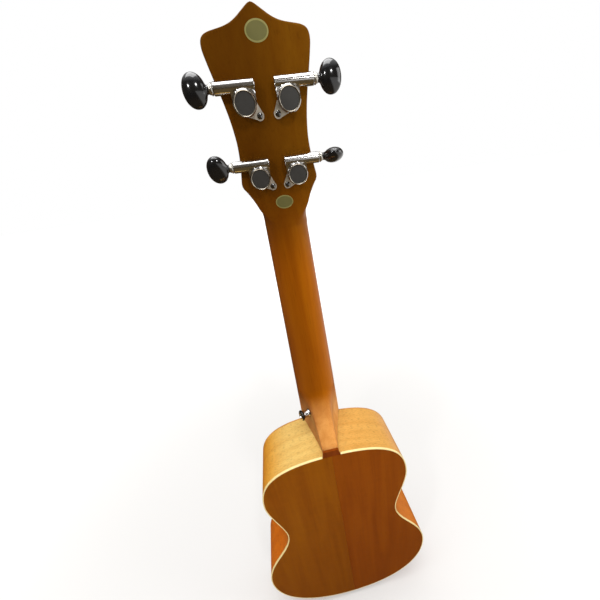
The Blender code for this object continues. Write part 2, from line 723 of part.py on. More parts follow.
def make_post(name, side, parent):
    """The string post with its gear: 14 square-cut teeth on a wheel inside the housing."""
    middle = gear_y()
    top = -HEAD_THICK - VENEER_THICK - GLUE - POST_REACH
    wheel_low = middle - GEAR_THICK / 2
    wheel_high = middle + GEAR_THICK / 2
    root = GEAR_RADIUS - TOOTH_REACH
    profile = (
        (0, wheel_high), (root, wheel_high), (root, wheel_low), (POST_RADIUS, wheel_low), (POST_RADIUS, top + 0.0060),
        (POST_RADIUS * 0.82, top + 0.0048), (POST_RADIUS * 0.82, top + 0.0028), (POST_RADIUS, top + 0.0016),
        (POST_RADIUS, top + 0.0006), (POST_RADIUS * 0.8, top), (0, top),
    )
    post = turned(f"post_{name}", profile, "chrome", parent, along_y(0, 0, 0), 20)
    pitch = 2 * pi / GEAR_TEETH
    outline = []
    for tooth in range(GEAR_TEETH):
        centre = pitch * (tooth + 0.5)
        for radius, share in ((root - 0.0002, -0.23), (GEAR_RADIUS + TOOTH_REACH, -0.14),
                              (GEAR_RADIUS + TOOTH_REACH, 0.14), (root - 0.0002, 0.23)):
            angle = centre + share * pitch
            outline.append((radius * sin(angle), radius * cos(angle)))
    teeth = plate(f"teeth_{name}", outline, wheel_low + 0.0001, GEAR_THICK - 0.0002, None, parent)
    boolean(post, flipped(teeth, side), "UNION")
    hole = turned(
        f"string_hole_{name}", ((0.0007, 0.006), (0.0007, -0.006)), None, parent,
        Matrix.Translation((0, top + 0.0038, 0)) @ Matrix.Rotation(pi / 2, 4, "Y"), 8,
    )
    boolean(post, hole)
    return flipped(post, side)


def make_worm(name, side, parent):
    """The button's shaft, with a worm that drives the gear one tooth a turn."""
    start = TUBE_INNER_END + HOUSING_WALL + RUN
    end = BUTTON_GAP + 0.0100
    worm_half = 0.0052
    collar = TUBE_OUTER_END + RUN
    place = (gear_y(), GEAR_TO_WORM)
    profile = (
        (0, end), (SHAFT_RADIUS, end), (SHAFT_RADIUS, BUTTON_GAP - RUN), (0.0030, BUTTON_GAP - RUN),
        (0.0030, collar), (SHAFT_RADIUS, collar), (SHAFT_RADIUS, worm_half + 0.0003), (WORM_SHANK, worm_half),
        (WORM_SHANK, -worm_half), (SHAFT_RADIUS, -worm_half - 0.0003), (SHAFT_RADIUS, start), (0, start),
    )
    shaft = turned(f"worm_{name}", profile, "chrome", parent, along_x(0, *place), 12)
    lead = 2 * pi * GEAR_RADIUS / GEAR_TEETH
    steps = 10
    turns = 2
    rings = []
    for i in range(int(turns * steps) + 1):
        turn = i / steps - turns / 2
        angle = -pi / 2 + 2 * pi * turn
        x = lead * turn
        ring = []
        for radius, shift in ((WORM_SHANK - 0.0003, -0.00050), (WORM_RADIUS + TOOTH_REACH, -0.00024),
                              (WORM_RADIUS + TOOTH_REACH, 0.00024), (WORM_SHANK - 0.0003, 0.00050)):
            ring.append((x + shift, place[0] + radius * cos(angle), place[1] + radius * sin(angle)))
        rings.append(ring)
    bm = bmesh.new()
    loft(bm, rings)
    thread = add(f"thread_{name}", mesh_from(f"thread_{name}", bm), None, parent)
    boolean(shaft, flipped(thread, side), "UNION")
    return flipped(shaft, side)


def make_button(name, side, parent):
    """The oval button, hollow for its shaft, turned to where it was left."""
    bm = bmesh.new()
    rings = []
    shares = ((0.0, 0.28, 0.55), (0.07, 0.28, 0.55), (0.12, 0.42, 0.62), (0.20, 0.67, 0.78), (0.32, 0.88, 0.92), (0.54, 1.0, 1.0),
              (0.76, 0.88, 0.88), (0.89, 0.65, 0.65), (0.96, 0.41, 0.41), (1.0, 0.14, 0.14))
    for along, wide, thick in shares:
        ring = []
        for i in range(16):
            angle = 2 * pi * i / 16
            y = wide * BUTTON_WIDE / 2 * cos(angle)
            z = thick * BUTTON_THICK / 2 * sin(angle)
            ring.append((BUTTON_GAP + along * BUTTON_LONG, y, z))
        rings.append(ring)
    loft(bm, rings)
    bm.transform(Matrix.Rotation(BUTTON_TURNS[name], 4, "X"))
    bm.transform(Matrix.Translation((0, gear_y(), GEAR_TO_WORM)))
    button = add(f"button_{name}", mesh_from(f"button_{name}", bm), "black_plastic", parent)
    socket = turned(
        f"socket_{name}", ((SHAFT_RADIUS + GLUE, 0.0100 + GLUE), (SHAFT_RADIUS + GLUE, -0.002)), None, parent,
        along_x(BUTTON_GAP, gear_y(), GEAR_TO_WORM), 12,
    )
    boolean(button, flipped(socket, side))
    return flipped(button, side)


def make_bushing(name, parent):
    """The threaded bushing and its washer, from the front of the head, with the post running through it."""
    face = -HEAD_THICK - VENEER_THICK - 2 * GLUE
    rim = face - BUSHING_HIGH
    back = -0.0010
    bore = POST_RADIUS + RUN
    wide = BUSHING_RADIUS + BUSHING_RIM
    outline = [(BUSHING_RADIUS, back), (BUSHING_RADIUS, face), (wide, face), (wide, rim + BUSHING_HIGH / 3),
               (BUSHING_RADIUS + 0.0002, rim), (bore, rim), (bore, back)]
    bm = bmesh.new()
    steps = 18
    rows = []
    for i in range(steps):
        angle = 2 * pi * i / steps
        rows.append([bm.verts.new((r * cos(angle), y, r * sin(angle))) for r, y in outline])
    for i in range(steps):
        first, second = rows[i], rows[(i + 1) % steps]
        for j in range(len(outline)):
            k = (j + 1) % len(outline)
            bm.faces.new((first[j], first[k], second[k], second[j]))
    return add(f"bushing_{name}", mesh_from(f"bushing_{name}", bm), "chrome", parent)


def make_tuner_screw(name, side, parent):
    """The round-headed wood screw through the ear."""
    head = GLUE + EAR_THICK + GLUE
    shank, thread = TUNER_SCREW
    profile = ((0, head + 0.0010), (shank, head + 0.0009), (0.0021, head + 0.0004), (0.0022, head), (shank, head),
               (shank, -0.0002), (thread, -GLUE), (thread, -0.0065), (0, -0.0080))
    screw = turned(
        f"tuner_screw_{name}", profile, "chrome", parent,
        along_y(EAR_PLACE[0], 0, EAR_PLACE[1]), 10,
    )
    return flipped(screw, side)


def make_tuners(neck):
    for name, (x, up) in TUNER_PLACES.items():
        side = 1 if x > 0 else -1
        parent = empty(f"tuner_{name}", (x, 0, up), parent=HEAD)
        make_housing(name, side, parent)
        make_cover(name, side, parent)
        make_post(name, side, parent)
        make_worm(name, side, parent)
        make_button(name, side, parent)
        make_bushing(name, parent)
        make_tuner_screw(name, side, parent)
        pilot = turned(
            f"pilot_{name}", ((TUNER_SCREW[1] + GLUE, 0.002), (TUNER_SCREW[1] + GLUE, -0.0085)), None, parent,
            along_y(EAR_PLACE[0], 0, EAR_PLACE[1]), 10,
        )
        boolean(neck, flipped(pilot, side))


# Strings, strap button and end pin.

def string_route(name):
    """From the groove in the bridge over the saddle and the nut to the post, and round it."""
    radius = STRING_RADII[name]
    across = string_place(name, SADDLE_SPACING)
    at_nut = string_place(name, NUT_SPACING)
    lift = radius + GLUE
    saddle_y = TOP_Y - SADDLE_TOP - lift
    low = SADDLE_Z - BRIDGE_LONG * 0.6
    nut_high = NUT_Z - NUT_LONG / 2 + NUT_LONG
    nut_y = TOP_Y - GLUE - NUT_HIGH - lift
    x, up = TUNER_PLACES[name]
    side = 1 if x > 0 else -1
    ring = POST_RADIUS + radius + RUN
    out = -HEAD_THICK - VENEER_THICK - 2 * GLUE - BUSHING_HIGH - 5 * GLUE
    route = [
        (across, string_anchor_y(), low),
        (across, string_anchor_y(), SADDLE_Z - 2.2 * SADDLE_THICK),
        (across, saddle_y, SADDLE_Z - SADDLE_THICK / 2 - GLUE),
        (across, saddle_y, SADDLE_Z + SADDLE_THICK / 2),
        (at_nut, nut_y, nut_high - NUT_LONG),
        (at_nut, nut_y, nut_high + GLUE),
    ]
    steps = 8
    turns = 1.5
    for i in range(int(turns * steps) + 1):
        angle = 2 * pi * i / steps
        wrap = out - 0.0034 + 2.2 * radius * i / steps
        route.append(head_point(x - side * ring * cos(angle), up + ring * sin(angle), wrap))
    return route


def make_strings():
    for name, radius in STRING_RADII.items():
        data = poly_curve(f"string_{name}", [string_route(name)], "3D", False)
        data.bevel_depth = radius
        data.bevel_resolution = 1
        data.use_fill_caps = True
        bm = curve_mesh(f"string_{name}", data)
        add(f"string_{name}", mesh_from(f"string_{name}", bm), "string")


def button_profile(top):
    """A strap button: a broad dome, a narrow waist and a foot, above its seat at height 0."""
    return (
        (0.0023, top - 0.0014), (0.0025, top - 0.0002), (PIN_BUTTON - 0.0016, top), (PIN_BUTTON - 0.0004, top - 0.0007),
        (PIN_BUTTON, top - 0.0018), (PIN_BUTTON - 0.0010, top - 0.0029), (PIN_WAIST, top - 0.0044),
        (PIN_WAIST, 0.0018), (PIN_WAIST + PIN_FLARE, 0.0004), (PIN_WAIST + PIN_FLARE, 0),
    )


def heel_side(y, z):
    """How far out the heel's treble side is at this depth and height."""
    return crossing([(point.x, TOP_Y + point.y) for point in neck_side(z)], 1, y)[0]


def make_strap_button(neck):
    """The button on the heel's treble side, with the wood screw that holds it."""
    z = JOINT_Z + STRAP_RISE
    y = TOP_Y + STRAP_DEPTH
    reach = PIN_WAIST + PIN_FLARE
    spots = ((-reach, 0), (reach, 0), (0, -reach), (0, reach))
    front, back, low, high = (heel_side(y + deeper, z + lift) for deeper, lift in spots)
    across = max((front + back) / 2, (low + high) / 2)
    lean = atan2(front - back, 2 * reach)
    rise = atan2(low - high, 2 * reach)
    away = max(across - (front + back) / 2, across - (low + high) / 2, heel_side(y, z) - across, 0) + GLUE
    place = Matrix.Translation((across, y, z)) @ Matrix.Rotation(lean, 4, "Z") @ Matrix.Rotation(-rise, 4, "Y")
    seat = place @ along_x(away, 0, 0)
    foot = turned("strap_button", (*button_profile(PIN_LONG), (0, 0)), "chrome", None, seat, 18)
    bore = turned("strap_bore", ((0.0014 + GLUE, 0.02), (0.0014 + GLUE, -0.002)), None, None, seat, 10)
    boolean(foot, bore)
    head = PIN_LONG - 0.0014 + GLUE
    profile = ((0, head + 0.0008), (0.0012, head + 0.0008), (0.0020, head), (0.0014, head), (0.0014, 0.0),
               (0.0012, -0.0004), (0.0012, -0.0125), (0, -0.0145))
    turned("strap_screw", profile, "chrome", None, seat, 10)
    pilot = turned("strap_pilot", ((0.0014 + GLUE, 0.004), (0.0014 + GLUE, -0.0155)), None, None, seat, 10)
    boolean(neck, pilot)


def make_end_pin():
    """The tapered pin pressed into the tail block, with a button like the strap button's."""
    turn = Matrix.Translation((0, PIN_Y, TAIL_Z)) @ Matrix.Rotation(pi, 4, "X")
    button = button_profile(PIN_LONG)[2:-1]
    foot = (PIN_WAIST + PIN_FLARE, GLUE)
    profile = ((0, PIN_LONG), *button, foot, (PIN_SHANK, GLUE), (PIN_SHANK * 0.94, -0.0120), (0, -0.0125))
    turned("end_pin", profile, "chrome", None, turn, 18)


clear_scene()
PARTS = collection("ukulele")
CUTTERS = collection("cutters")
HEAD = empty("head", (0, HEAD_Y, NUT_Z), (-HEAD_TILT, 0, 0))
make_plates()
tail_hole = make_sides()
make_linings()
make_blocks(tail_hole)
make_braces()
make_bridge()
neck_body = make_neck()
make_heel_cap()
make_fingerboard()
make_tuners(neck_body)
make_strings()
make_strap_button(neck_body)
make_end_pin()
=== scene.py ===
"""A concert ukulele: fine shapes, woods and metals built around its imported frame."""

import json
from math import cos, pi, radians, sin

import bmesh
import bpy
from bpy.props import FloatProperty, FloatVectorProperty, IntProperty, PointerProperty
from bpy.types import NodeSocket, Operator, Panel, PropertyGroup
from mathutils import Matrix, Vector
from mathutils.geometry import interpolate_bezier


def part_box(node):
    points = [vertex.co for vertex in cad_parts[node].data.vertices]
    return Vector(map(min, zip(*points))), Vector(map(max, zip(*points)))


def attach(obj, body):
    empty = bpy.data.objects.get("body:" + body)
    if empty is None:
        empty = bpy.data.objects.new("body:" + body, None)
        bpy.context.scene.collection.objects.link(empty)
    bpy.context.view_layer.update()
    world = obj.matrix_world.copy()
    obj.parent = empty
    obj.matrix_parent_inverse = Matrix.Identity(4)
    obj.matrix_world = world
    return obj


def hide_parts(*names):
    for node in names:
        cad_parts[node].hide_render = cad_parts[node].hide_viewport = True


bl_info = {
    "name": "Concert Ukulele",
    "version": (1, 0, 0),
    "blender": (4, 5, 0),
    "location": "3D View > Sidebar > Ukulele",
    "description": "Builds the fine shapes and finishes of a concert ukulele around its frame",
    "category": "Add Mesh",
}

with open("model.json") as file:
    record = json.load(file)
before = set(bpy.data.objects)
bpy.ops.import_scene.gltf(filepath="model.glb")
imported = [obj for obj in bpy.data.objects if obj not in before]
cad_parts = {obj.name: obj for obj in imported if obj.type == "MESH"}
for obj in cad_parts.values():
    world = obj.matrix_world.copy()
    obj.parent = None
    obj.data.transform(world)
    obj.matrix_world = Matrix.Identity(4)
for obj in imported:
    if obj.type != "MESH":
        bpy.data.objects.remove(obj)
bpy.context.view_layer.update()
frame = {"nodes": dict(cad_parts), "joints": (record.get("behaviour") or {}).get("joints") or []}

# Places read from the frame.
TOP_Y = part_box("soundboard")[0].y
TOP_IN_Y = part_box("soundboard")[1].y
BACK_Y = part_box("back_treble")[1].y
BACK_IN_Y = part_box("back_treble")[0].y
JOINT_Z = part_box("soundboard")[1].z
TAIL_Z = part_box("soundboard")[0].z
LOWER_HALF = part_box("soundboard")[1].x
GLUE = 0.0003
NUT_Z = (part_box("nut")[0].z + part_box("nut")[1].z) / 2 - GLUE
SADDLE_Z = (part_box("saddle")[0].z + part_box("saddle")[1].z) / 2
SCALE = NUT_Z - SADDLE_Z
NUT_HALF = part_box("nut")[1].x
BOARD_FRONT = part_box("fingerboard")[0].y
CAP_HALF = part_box("heel_cap")[1].x
CAP_TOP_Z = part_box("heel_cap")[1].z
CAP_INNER_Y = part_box("heel_cap")[0].y

# The head's lean, its back's depth at the nut, its wood, its veneer and where its face ends up.
HEAD_TILT = radians(13.6)
HEAD_DEEP = 0.0149
HEAD_WOOD = 0.0115
VENEER = 0.0016
HEAD_FACE = -HEAD_WOOD - GLUE - VENEER

TUNERS = ("a", "e", "c", "g")
KEY_TURNS = {"a": radians(76), "e": radians(98), "c": radians(-80), "g": radians(22)}


# Settings that a user would change.

def length(name, default, about):
    return FloatProperty(name=name, description=about, default=default, unit="LENGTH", precision=5)


def colour(name, default, about):
    return FloatVectorProperty(
        name=name, description=about, default=default, subtype="COLOR", min=0, max=1
    )


class UkuleleSizes(PropertyGroup):
    """Sizes of the body, the neck and the trim."""

    upper_half: length("Upper bout", 0.0797, "Half the width across the upper bout")
    upper_drop: length("Upper bout drop", 0.0524, "From the joint down to the upper bout")
    waist_half: length("Waist", 0.0655, "Half the width across the waist")
    waist_drop: length("Waist drop", 0.1104, "From the joint down to the waist")
    lower_drop: length("Lower bout drop", 0.1996, "From the joint down to the lower bout")
    side_thick: length("Side thickness", 0.0020, "Thickness of the bent sides")
    binding_wide: length("Binding width", 0.0012, "Width of the binding on the back's edge")
    ridge_half: length("Heel ridge", 0.0079, "Half the width of the heel's ridge at its foot")
    ridge_spread: length("Ridge spread", 0.0025, "How much wider the ridge is at its upper end")
    ridge_drop: length("Ridge edge", 0.0026, "Depth over which the ridge's edges round off")
    cheek_rise: length("Cheek hollow", 0.0180, "Height over which the cheeks grow hollow")
    joint_half: length("Neck at the joint", 0.0221, "Half the neck's width at the body")
    shaft_deep: length("Neck depth", 0.0172, "Depth of the neck just above the heel")
    heel_rise: length("Heel foot", 0.0065, "How far the heel's foot stands above the shoulder")
    heel_curve: length("Heel curve", 0.0440, "Length of the heel's curve up to the neck")
    fret_count: IntProperty(name="Frets", description="How many", default=18, min=1, max=24)
    fret_wide: length("Fret width", 0.0019, "Width of a fret's crown")
    fret_high: length("Fret height", 0.0008, "Height of a fret's crown")
    label_wide: length("Label width", 0.0068, "Half the width of a foil label")
    label_high: length("Label height", 0.0049, "Half the height of a foil label")


class UkuleleColours(PropertyGroup):
    """Colours of the woods, the binding and the trim."""

    back_bass: colour("Back, bass half", (0.232, 0.050, 0.0005), "The redder half of the back")
    back_treble: colour("Back, treble half", (0.236, 0.064, 0.0005), "The more olive half")
    side: colour("Sides", (0.655, 0.420, 0.125), "The golden sides")
    neck: colour("Neck", (0.245, 0.059, 0.0008), "The neck's shaft")
    # Painted light: the heel's tone is paler than the neck's, for the light that falls on the
    # up-turned heel.
    heel: colour("Heel", (0.420, 0.172, 0.050), "The paler wood of the heel")
    # Painted shade: the head's tone is darker than the neck's, for the shade on the leaning head;
    # the head's veneer takes this tone too.
    head: colour("Head", (0.105, 0.031, 0.0012), "The head's back")
    top: colour("Soundboard", (0.520, 0.255, 0.080), "The soundboard")
    dark: colour("Dark wood", (0.060, 0.022, 0.012), "The fingerboard, bridge and ring")
    cap: colour("Heel cap", (0.190, 0.032, 0.002), "The red-brown heel cap")
    cream: colour("Binding", (0.860, 0.690, 0.310), "The cream binding")
    foil: colour("Foil", (0.230, 0.215, 0.075), "The foil labels")


def sizes():
    return bpy.context.scene.ukulele_sizes


def colours():
    return bpy.context.scene.ukulele_colours


# Nodes.

def feed(tree, node, inputs):
    """Joins each named input of a node to another node's socket, or sets it to a value."""
    for label, value in inputs.items():
        if isinstance(value, NodeSocket):
            tree.links.new(value, node.inputs[label])
        else:
            node.inputs[label].default_value = value


def add_node(tree, kind, inputs=(), **settings):
    """A new node with these inputs and settings."""
    node = tree.nodes.new(kind)
    for label, value in settings.items():
        setattr(node, label, value)
    feed(tree, node, dict(inputs))
    return node


def calc(tree, operation, first, second):
    """One sum of two values, each a socket or a number."""
    sum_node = add_node(tree, "ShaderNodeMath", {0: first, 1: second}, operation=operation)
    return sum_node.outputs[0]


def own_place(tree):
    """The object's own coordinates."""
    return add_node(tree, "ShaderNodeTexCoord").outputs["Object"]


def part_of(tree, vector, axis):
    return add_node(tree, "ShaderNodeSeparateXYZ", {"Vector": vector}).outputs[axis]


def spread(tree, value, to_low, to_high, low=0.0, high=1.0, kind="LINEAR"):
    """Carries a value from one range to another."""
    inputs = {"Value": value, "From Min": low, "From Max": high}
    inputs.update({"To Min": to_low, "To Max": to_high})
    made = add_node(tree, "ShaderNodeMapRange", inputs, interpolation_type=kind)
    return made.outputs["Result"]


def noise(tree, vector, scale, detail, roughness, distortion=0.0):
    inputs = {"Vector": vector, "Scale": scale, "Detail": detail, "Roughness": roughness}
    inputs["Distortion"] = distortion
    return add_node(tree, "ShaderNodeTexNoise", inputs).outputs["Fac"]


def ramp(tree, value, *stops):
    """A colour ramp through (place, colour) stops."""
    made = add_node(tree, "ShaderNodeValToRGB", {"Fac": value})
    for stop, (place, tone) in zip(made.color_ramp.elements, stops):
        stop.position = place
        stop.color = (*tone, 1)
    for place, tone in stops[2:]:
        made.color_ramp.elements.new(place).color = (*tone, 1)
    return made.outputs["Color"]


# The mix node's sockets for colours, which share their names with those for other kinds.
MIX_SHARE, MIX_FIRST, MIX_SECOND, MIX_RESULT = 0, 6, 7, 2


def blend_colours(tree, first, second, share, kind="MIX"):
    """Mixes two colours. Each may be a socket or a colour, and share a socket or a number."""
    first, second = (
        tone if isinstance(tone, NodeSocket) else (*tone, 1) for tone in (first, second)
    )
    inputs = {MIX_SHARE: share, MIX_FIRST: first, MIX_SECOND: second}
    made = add_node(tree, "ShaderNodeMix", inputs, data_type="RGBA", blend_type=kind)
    return made.outputs[MIX_RESULT]


def multiply(tree, first, second, share=1.0):
    return blend_colours(tree, first, second, share, "MULTIPLY")


def bump(tree, height, strength, distance):
    inputs = {"Height": height, "Strength": strength, "Distance": distance}
    return add_node(tree, "ShaderNodeBump", inputs).outputs["Normal"]


# Finishes.

def new_finish(name):
    """A new material, its nodes and its Principled shader."""
    made = bpy.data.materials.new(name)
    made.use_nodes = True
    return made, made.node_tree, made.node_tree.nodes["Principled BSDF"]


def grey(value):
    return (value, value, value)


WHITE = grey(1.0)
LACQUER_TINT = (1.0, 0.58, 0.07, 1)


def tint(tone, share):
    return tuple(min(part * share, 1) for part in tone)


def wood(
    name, tone, seed, along="Z", uv_map=None, contrast=1.0, figure=0.0, rough=0.36, shine=0.35,
    pores=0.5, fleck=0.045, dense=0.30, speck=1100,
):
    """Lacquered wood with its grain along one axis: bands, fibres, pores and a cross figure."""
    made, tree, shader = new_finish(name)
    if uv_map:
        source = add_node(tree, "ShaderNodeUVMap", uv_map=uv_map).outputs["UV"]
    else:
        source = own_place(tree)

    def grain(across, lengthwise, *look):
        """Noise stretched across the grain and along it."""
        scale = [across, across, across]
        scale["XYZ".index(along)] = lengthwise
        inputs = {"Vector": source, "Scale": scale, "Location": (seed, seed * 0.7, seed * 1.3)}
        place = add_node(tree, "ShaderNodeMapping", inputs).outputs["Vector"]
        return noise(tree, place, *look)

    bands = grain(1, 0.07, 95, 4, 0.55, 0.4)
    fibres = grain(1, 0.025, 900, 3, 0.6)
    dashes = grain(1, fleck, speck, 2, 0.5)
    cloud = grain(1, 0.6, 20, 3, 0.5)
    red, green, blue = tone
    deep = tuple(part * (1 - drop * contrast) for part, drop in zip(tone, (0.22, 0.36, 0.50)))
    pale = tint((red, green * 1.06, blue * 1.15), 1 + 0.20 * contrast)
    base = ramp(tree, bands, (0.34, deep), (0.66, pale))
    warm = tuple(1 - drop * contrast for drop in (0.10, 0.20, 0.40))
    base = multiply(tree, base, ramp(tree, cloud, (0.32, warm), (0.68, WHITE)))
    fine = ramp(tree, fibres, (0.35, grey(1 - 0.18 * contrast)), (0.62, WHITE))
    base = multiply(tree, base, fine, 0.8)
    open_pores = ramp(tree, dashes, (dense, grey(1 - pores)), (dense + 0.09, WHITE))
    base = multiply(tree, base, open_pores, 0.6)
    if figure:
        ripple = grain(0.45, 1, 150, 3, 0.55, 0.6)
        shimmer = ramp(tree, ripple, (0.36, grey(1 - figure)), (0.62, WHITE))
        base = multiply(tree, base, shimmer)
    feed(tree, shader, {
        "Base Color": base,
        "Roughness": spread(tree, fibres, rough - 0.05, rough + 0.09),
        "Specular IOR Level": shine,
        "Specular Tint": LACQUER_TINT,
        "Normal": bump(tree, open_pores, 0.22, 0.00012),
    })
    return made


def shade_along(made, axis, low, high, low_tone, high_tone):
    """Multiplies a wood's colour by a tone that changes along an axis, for painted light and shade
    and for changes in the wood's tone.
    """
    tree = made.node_tree
    shader = tree.nodes["Principled BSDF"]
    base = shader.inputs["Base Color"].links[0].from_socket
    place = part_of(tree, own_place(tree), axis)
    share = spread(tree, place, 0, 1, low, high, "SMOOTHSTEP")
    tone = blend_colours(tree, low_tone, high_tone, share)
    feed(tree, shader, {"Base Color": multiply(tree, base, tone)})
    return made


def polished(name, tone, rough, metallic=1.0, scratches=0.03, coat=0.0):
    """Plated metal or glossy plastic, with faint wear in its gloss."""
    made, tree, shader = new_finish(name)
    smudge = noise(tree, own_place(tree), 160, 4, 0.6)
    speck = noise(tree, own_place(tree), 2400, 2, 0.5)
    feed(tree, shader, {
        "Base Color": ramp(tree, smudge, (0.30, tint(tone, 0.90)), (0.70, tone)),
        "Roughness": spread(tree, smudge, max(rough - scratches, 0.02), rough + scratches * 2),
        "Metallic": metallic,
        "Coat Weight": coat,
        "Normal": bump(tree, speck, 0.015, 0.00003),
    })
    return made


def make_neck_finish():
    """The neck's wood, with painted light and shade: a heel drawn paler for the light on it, a head
    drawn darker for its shade, and a painted highlight down the bass side.
    """
    tones = colours()
    made = wood("neck_mahogany", tones.neck, 1.7, contrast=0.45, pores=0.3)
    heel, head = (tuple(h / n for h, n in zip(t, tones.neck)) for t in (tones.heel, tones.head))
    # Painted light: the heel is drawn paler where it turns up towards the light.
    shade_along(made, "Z", JOINT_Z + 0.012, JOINT_Z + 0.042, heel, WHITE)
    # Painted shade: the head is drawn darker for the shade that it leans back into.
    shade_along(made, "Z", NUT_Z - 0.045, NUT_Z + 0.045, WHITE, head)
    # Painted highlight: the bass side of the neck and head is drawn lighter, for the bright band of
    # reflected light down that side.
    return shade_along(made, "X", -0.021, 0.008, (1.55, 1.70, 1.6), WHITE)


def make_side_finish():
    """The sides' wood, with painted light and shade: golden and lighter at the shoulders, which
    face the light, and redder below the waist; also redder at the treble edge and on the bass side.
    """
    made = wood(
        "side_mahogany", colours().side, 5.5, "X", "grain", contrast=0.26, figure=0.06, rough=0.40,
        shine=0.3, pores=0.55, fleck=0.15, dense=0.36, speck=1700,
    )
    # Painted light and shade: the sides are drawn golden and lighter towards the shoulders, which
    # face the light from above, and darker and redder lower down.
    shade_along(made, "Z", JOINT_Z - 0.062, JOINT_Z - 0.006, (0.96, 0.50, 0.12), WHITE)
    shade_along(made, "X", 0.040, 0.078, WHITE, (1, 0.68, 0.14))
    return shade_along(made, "X", -0.030, 0.020, (0.94, 0.76, 0.60), WHITE)


def make_back_finish(name, tone, seed):
    made = wood(name, tone, seed, contrast=0.45, figure=0.05, shine=0.2, pores=0.2)
    # Painted light and shade: the back is drawn lighter towards the neck and darker towards the
    # tail, as the light falls off down it.
    return shade_along(made, "Z", TAIL_Z, JOINT_Z, (0.94, 0.90, 1), (1.10, 1.12, 1))


def make_dark_wood(name, seed, along, rough, shine):
    return wood(name, colours().dark, seed, along, rough=rough, shine=shine, pores=0.7)


def make_raw_wood():
    look = {"contrast": 0.5, "rough": 0.7, "shine": 0.1, "pores": 0.2}
    return wood("raw_spruce", (0.62, 0.42, 0.22), 3.9, "X", **look)


MAKERS = {
    "top": lambda: wood("top_mahogany", colours().top, 4.1, contrast=0.7),
    "back_bass": lambda: make_back_finish("back_mahogany_bass", colours().back_bass, 7.3),
    "back_treble": lambda: make_back_finish("back_mahogany_treble", colours().back_treble, 2.9),
    "side": make_side_finish,
    "neck": make_neck_finish,
    "veneer": lambda: wood("veneer_mahogany", colours().head, 3.3, contrast=0.8),
    "dark": lambda: make_dark_wood("dark_rosewood", 9.1, "Z", 0.5, 0.25),
    "bridge": lambda: make_dark_wood("bridge_rosewood", 6.2, "X", 0.45, 0.3),
    "cap": lambda: wood("cap_rosewood", colours().cap, 8.4, contrast=0.6, pores=0.2),
    "raw": make_raw_wood,
    "cream": lambda: polished("cream_binding", colours().cream, 0.32, 0.0, 0.05, 0.2),
    "bone": lambda: polished("polished_bone", (0.84, 0.80, 0.68), 0.30, 0.0, 0.05, 0.1),
    "pearl": lambda: polished("pearl_dot", (0.85, 0.87, 0.84), 0.18, 0.2, 0.05, 0.4),
    "chrome": lambda: polished("plated_chrome", (0.66, 0.65, 0.64), 0.13),
    "rim": lambda: polished("ring_nickel", (0.44, 0.40, 0.33), 0.27),
    "smoked": lambda: polished("smoked_chrome", (0.080, 0.078, 0.074), 0.32, 0.6),
    "ear": lambda: polished("ear_nickel", (0.74, 0.69, 0.60), 0.50),
    # Painted shade: a dark chrome for the shadowed rim and foot of the strap knob.
    "shade": lambda: polished("shaded_chrome", (0.045, 0.043, 0.040), 0.22),
    "dim": lambda: polished("dim_chrome", (0.20, 0.20, 0.20), 0.20),
    "collar": lambda: polished("satin_nickel", (0.62, 0.60, 0.55), 0.30),
    "fret": lambda: polished("fret_wire", (0.74, 0.72, 0.68), 0.22),
    "black": lambda: polished("black_key", (0.006, 0.006, 0.007), 0.14, 0.0, 0.03, 0.5),
    "foil": lambda: polished("foil_label", colours().foil, 0.38, 0.65, 0.08),
    "foil_rim": lambda: polished("foil_rim", tint(colours().foil, 1.9), 0.34, 0.65, 0.06),
    "string": lambda: polished("nylon_string", (0.70, 0.68, 0.62), 0.30, 0.0, 0.03),
}
FINISHES = {}


def finish(name):
    """The named finish, made once."""
    if name not in FINISHES:
        FINISHES[name] = MAKERS[name]()
    return FINISHES[name]


def coat_node(node, coat):
    """Gives a carried-over node one finish."""
    mesh = frame["nodes"][node].data
    mesh.materials.clear()
    mesh.materials.append(finish(coat))


def coat_faces(piece, place, coat, chosen):
    """Gives a second finish to the faces whose middle, in the frame of place, is chosen."""
    piece.data.materials.append(finish(coat))
    inverse = place.inverted()
    for face in piece.data.polygons:
        if chosen(inverse @ face.center):
            face.material_index = 1


# Making pieces. Each maker of mesh work returns it, loose, for make_piece or joined.

WELD = 2e-6
SHARP = 35


def add_object(name, data):
    obj = bpy.data.objects.new(name, data)
    bpy.context.scene.collection.objects.link(obj)
    return obj


def make_piece(name, bm, coat, body="root", stands_for=(), sharp=SHARP, weld=True):
    """Turns mesh work into a finished piece that rides on a body and may stand for CAD nodes."""
    if weld:
        bmesh.ops.remove_doubles(bm, verts=bm.verts, dist=WELD)
        bmesh.ops.recalc_face_normals(bm, faces=bm.faces)
    mesh = bpy.data.meshes.new(name)
    bm.to_mesh(mesh)
    bm.free()
    mesh.materials.append(finish(coat))
    mesh.shade_smooth()
    mesh.set_sharp_from_angle(angle=radians(sharp))
    obj = add_object(name, mesh)
    if stands_for:
        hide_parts(*stands_for)
    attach(obj, body)
    return obj


def soften(obj, width, segments=3, angle=40):
    """Rounds the sharp edges of a piece."""
    edge = obj.modifiers.new("soft_edges", "BEVEL")
    edge.width = width
    edge.segments = segments
    edge.limit_method = "ANGLE"
    edge.angle_limit = radians(angle)
    edge.use_clamp_overlap = True


def join_rows(bm, rows, caps=True):
    """Adds the faces between rows of equally many vertices, and closes the two ends."""
    count = len(rows[0])
    for first, second in zip(rows, rows[1:]):
        for i in range(count):
            j = (i + 1) % count
            bm.faces.new((first[i], first[j], second[j], second[i]))
    if caps:
        bm.faces.new(rows[0])
        bm.faces.new(rows[-1])


def skin(rings, caps=True):
    """A skin over rings of equally many points."""
    bm = bmesh.new()
    join_rows(bm, [[bm.verts.new(point) for point in ring] for ring in rings], caps)
    return bm


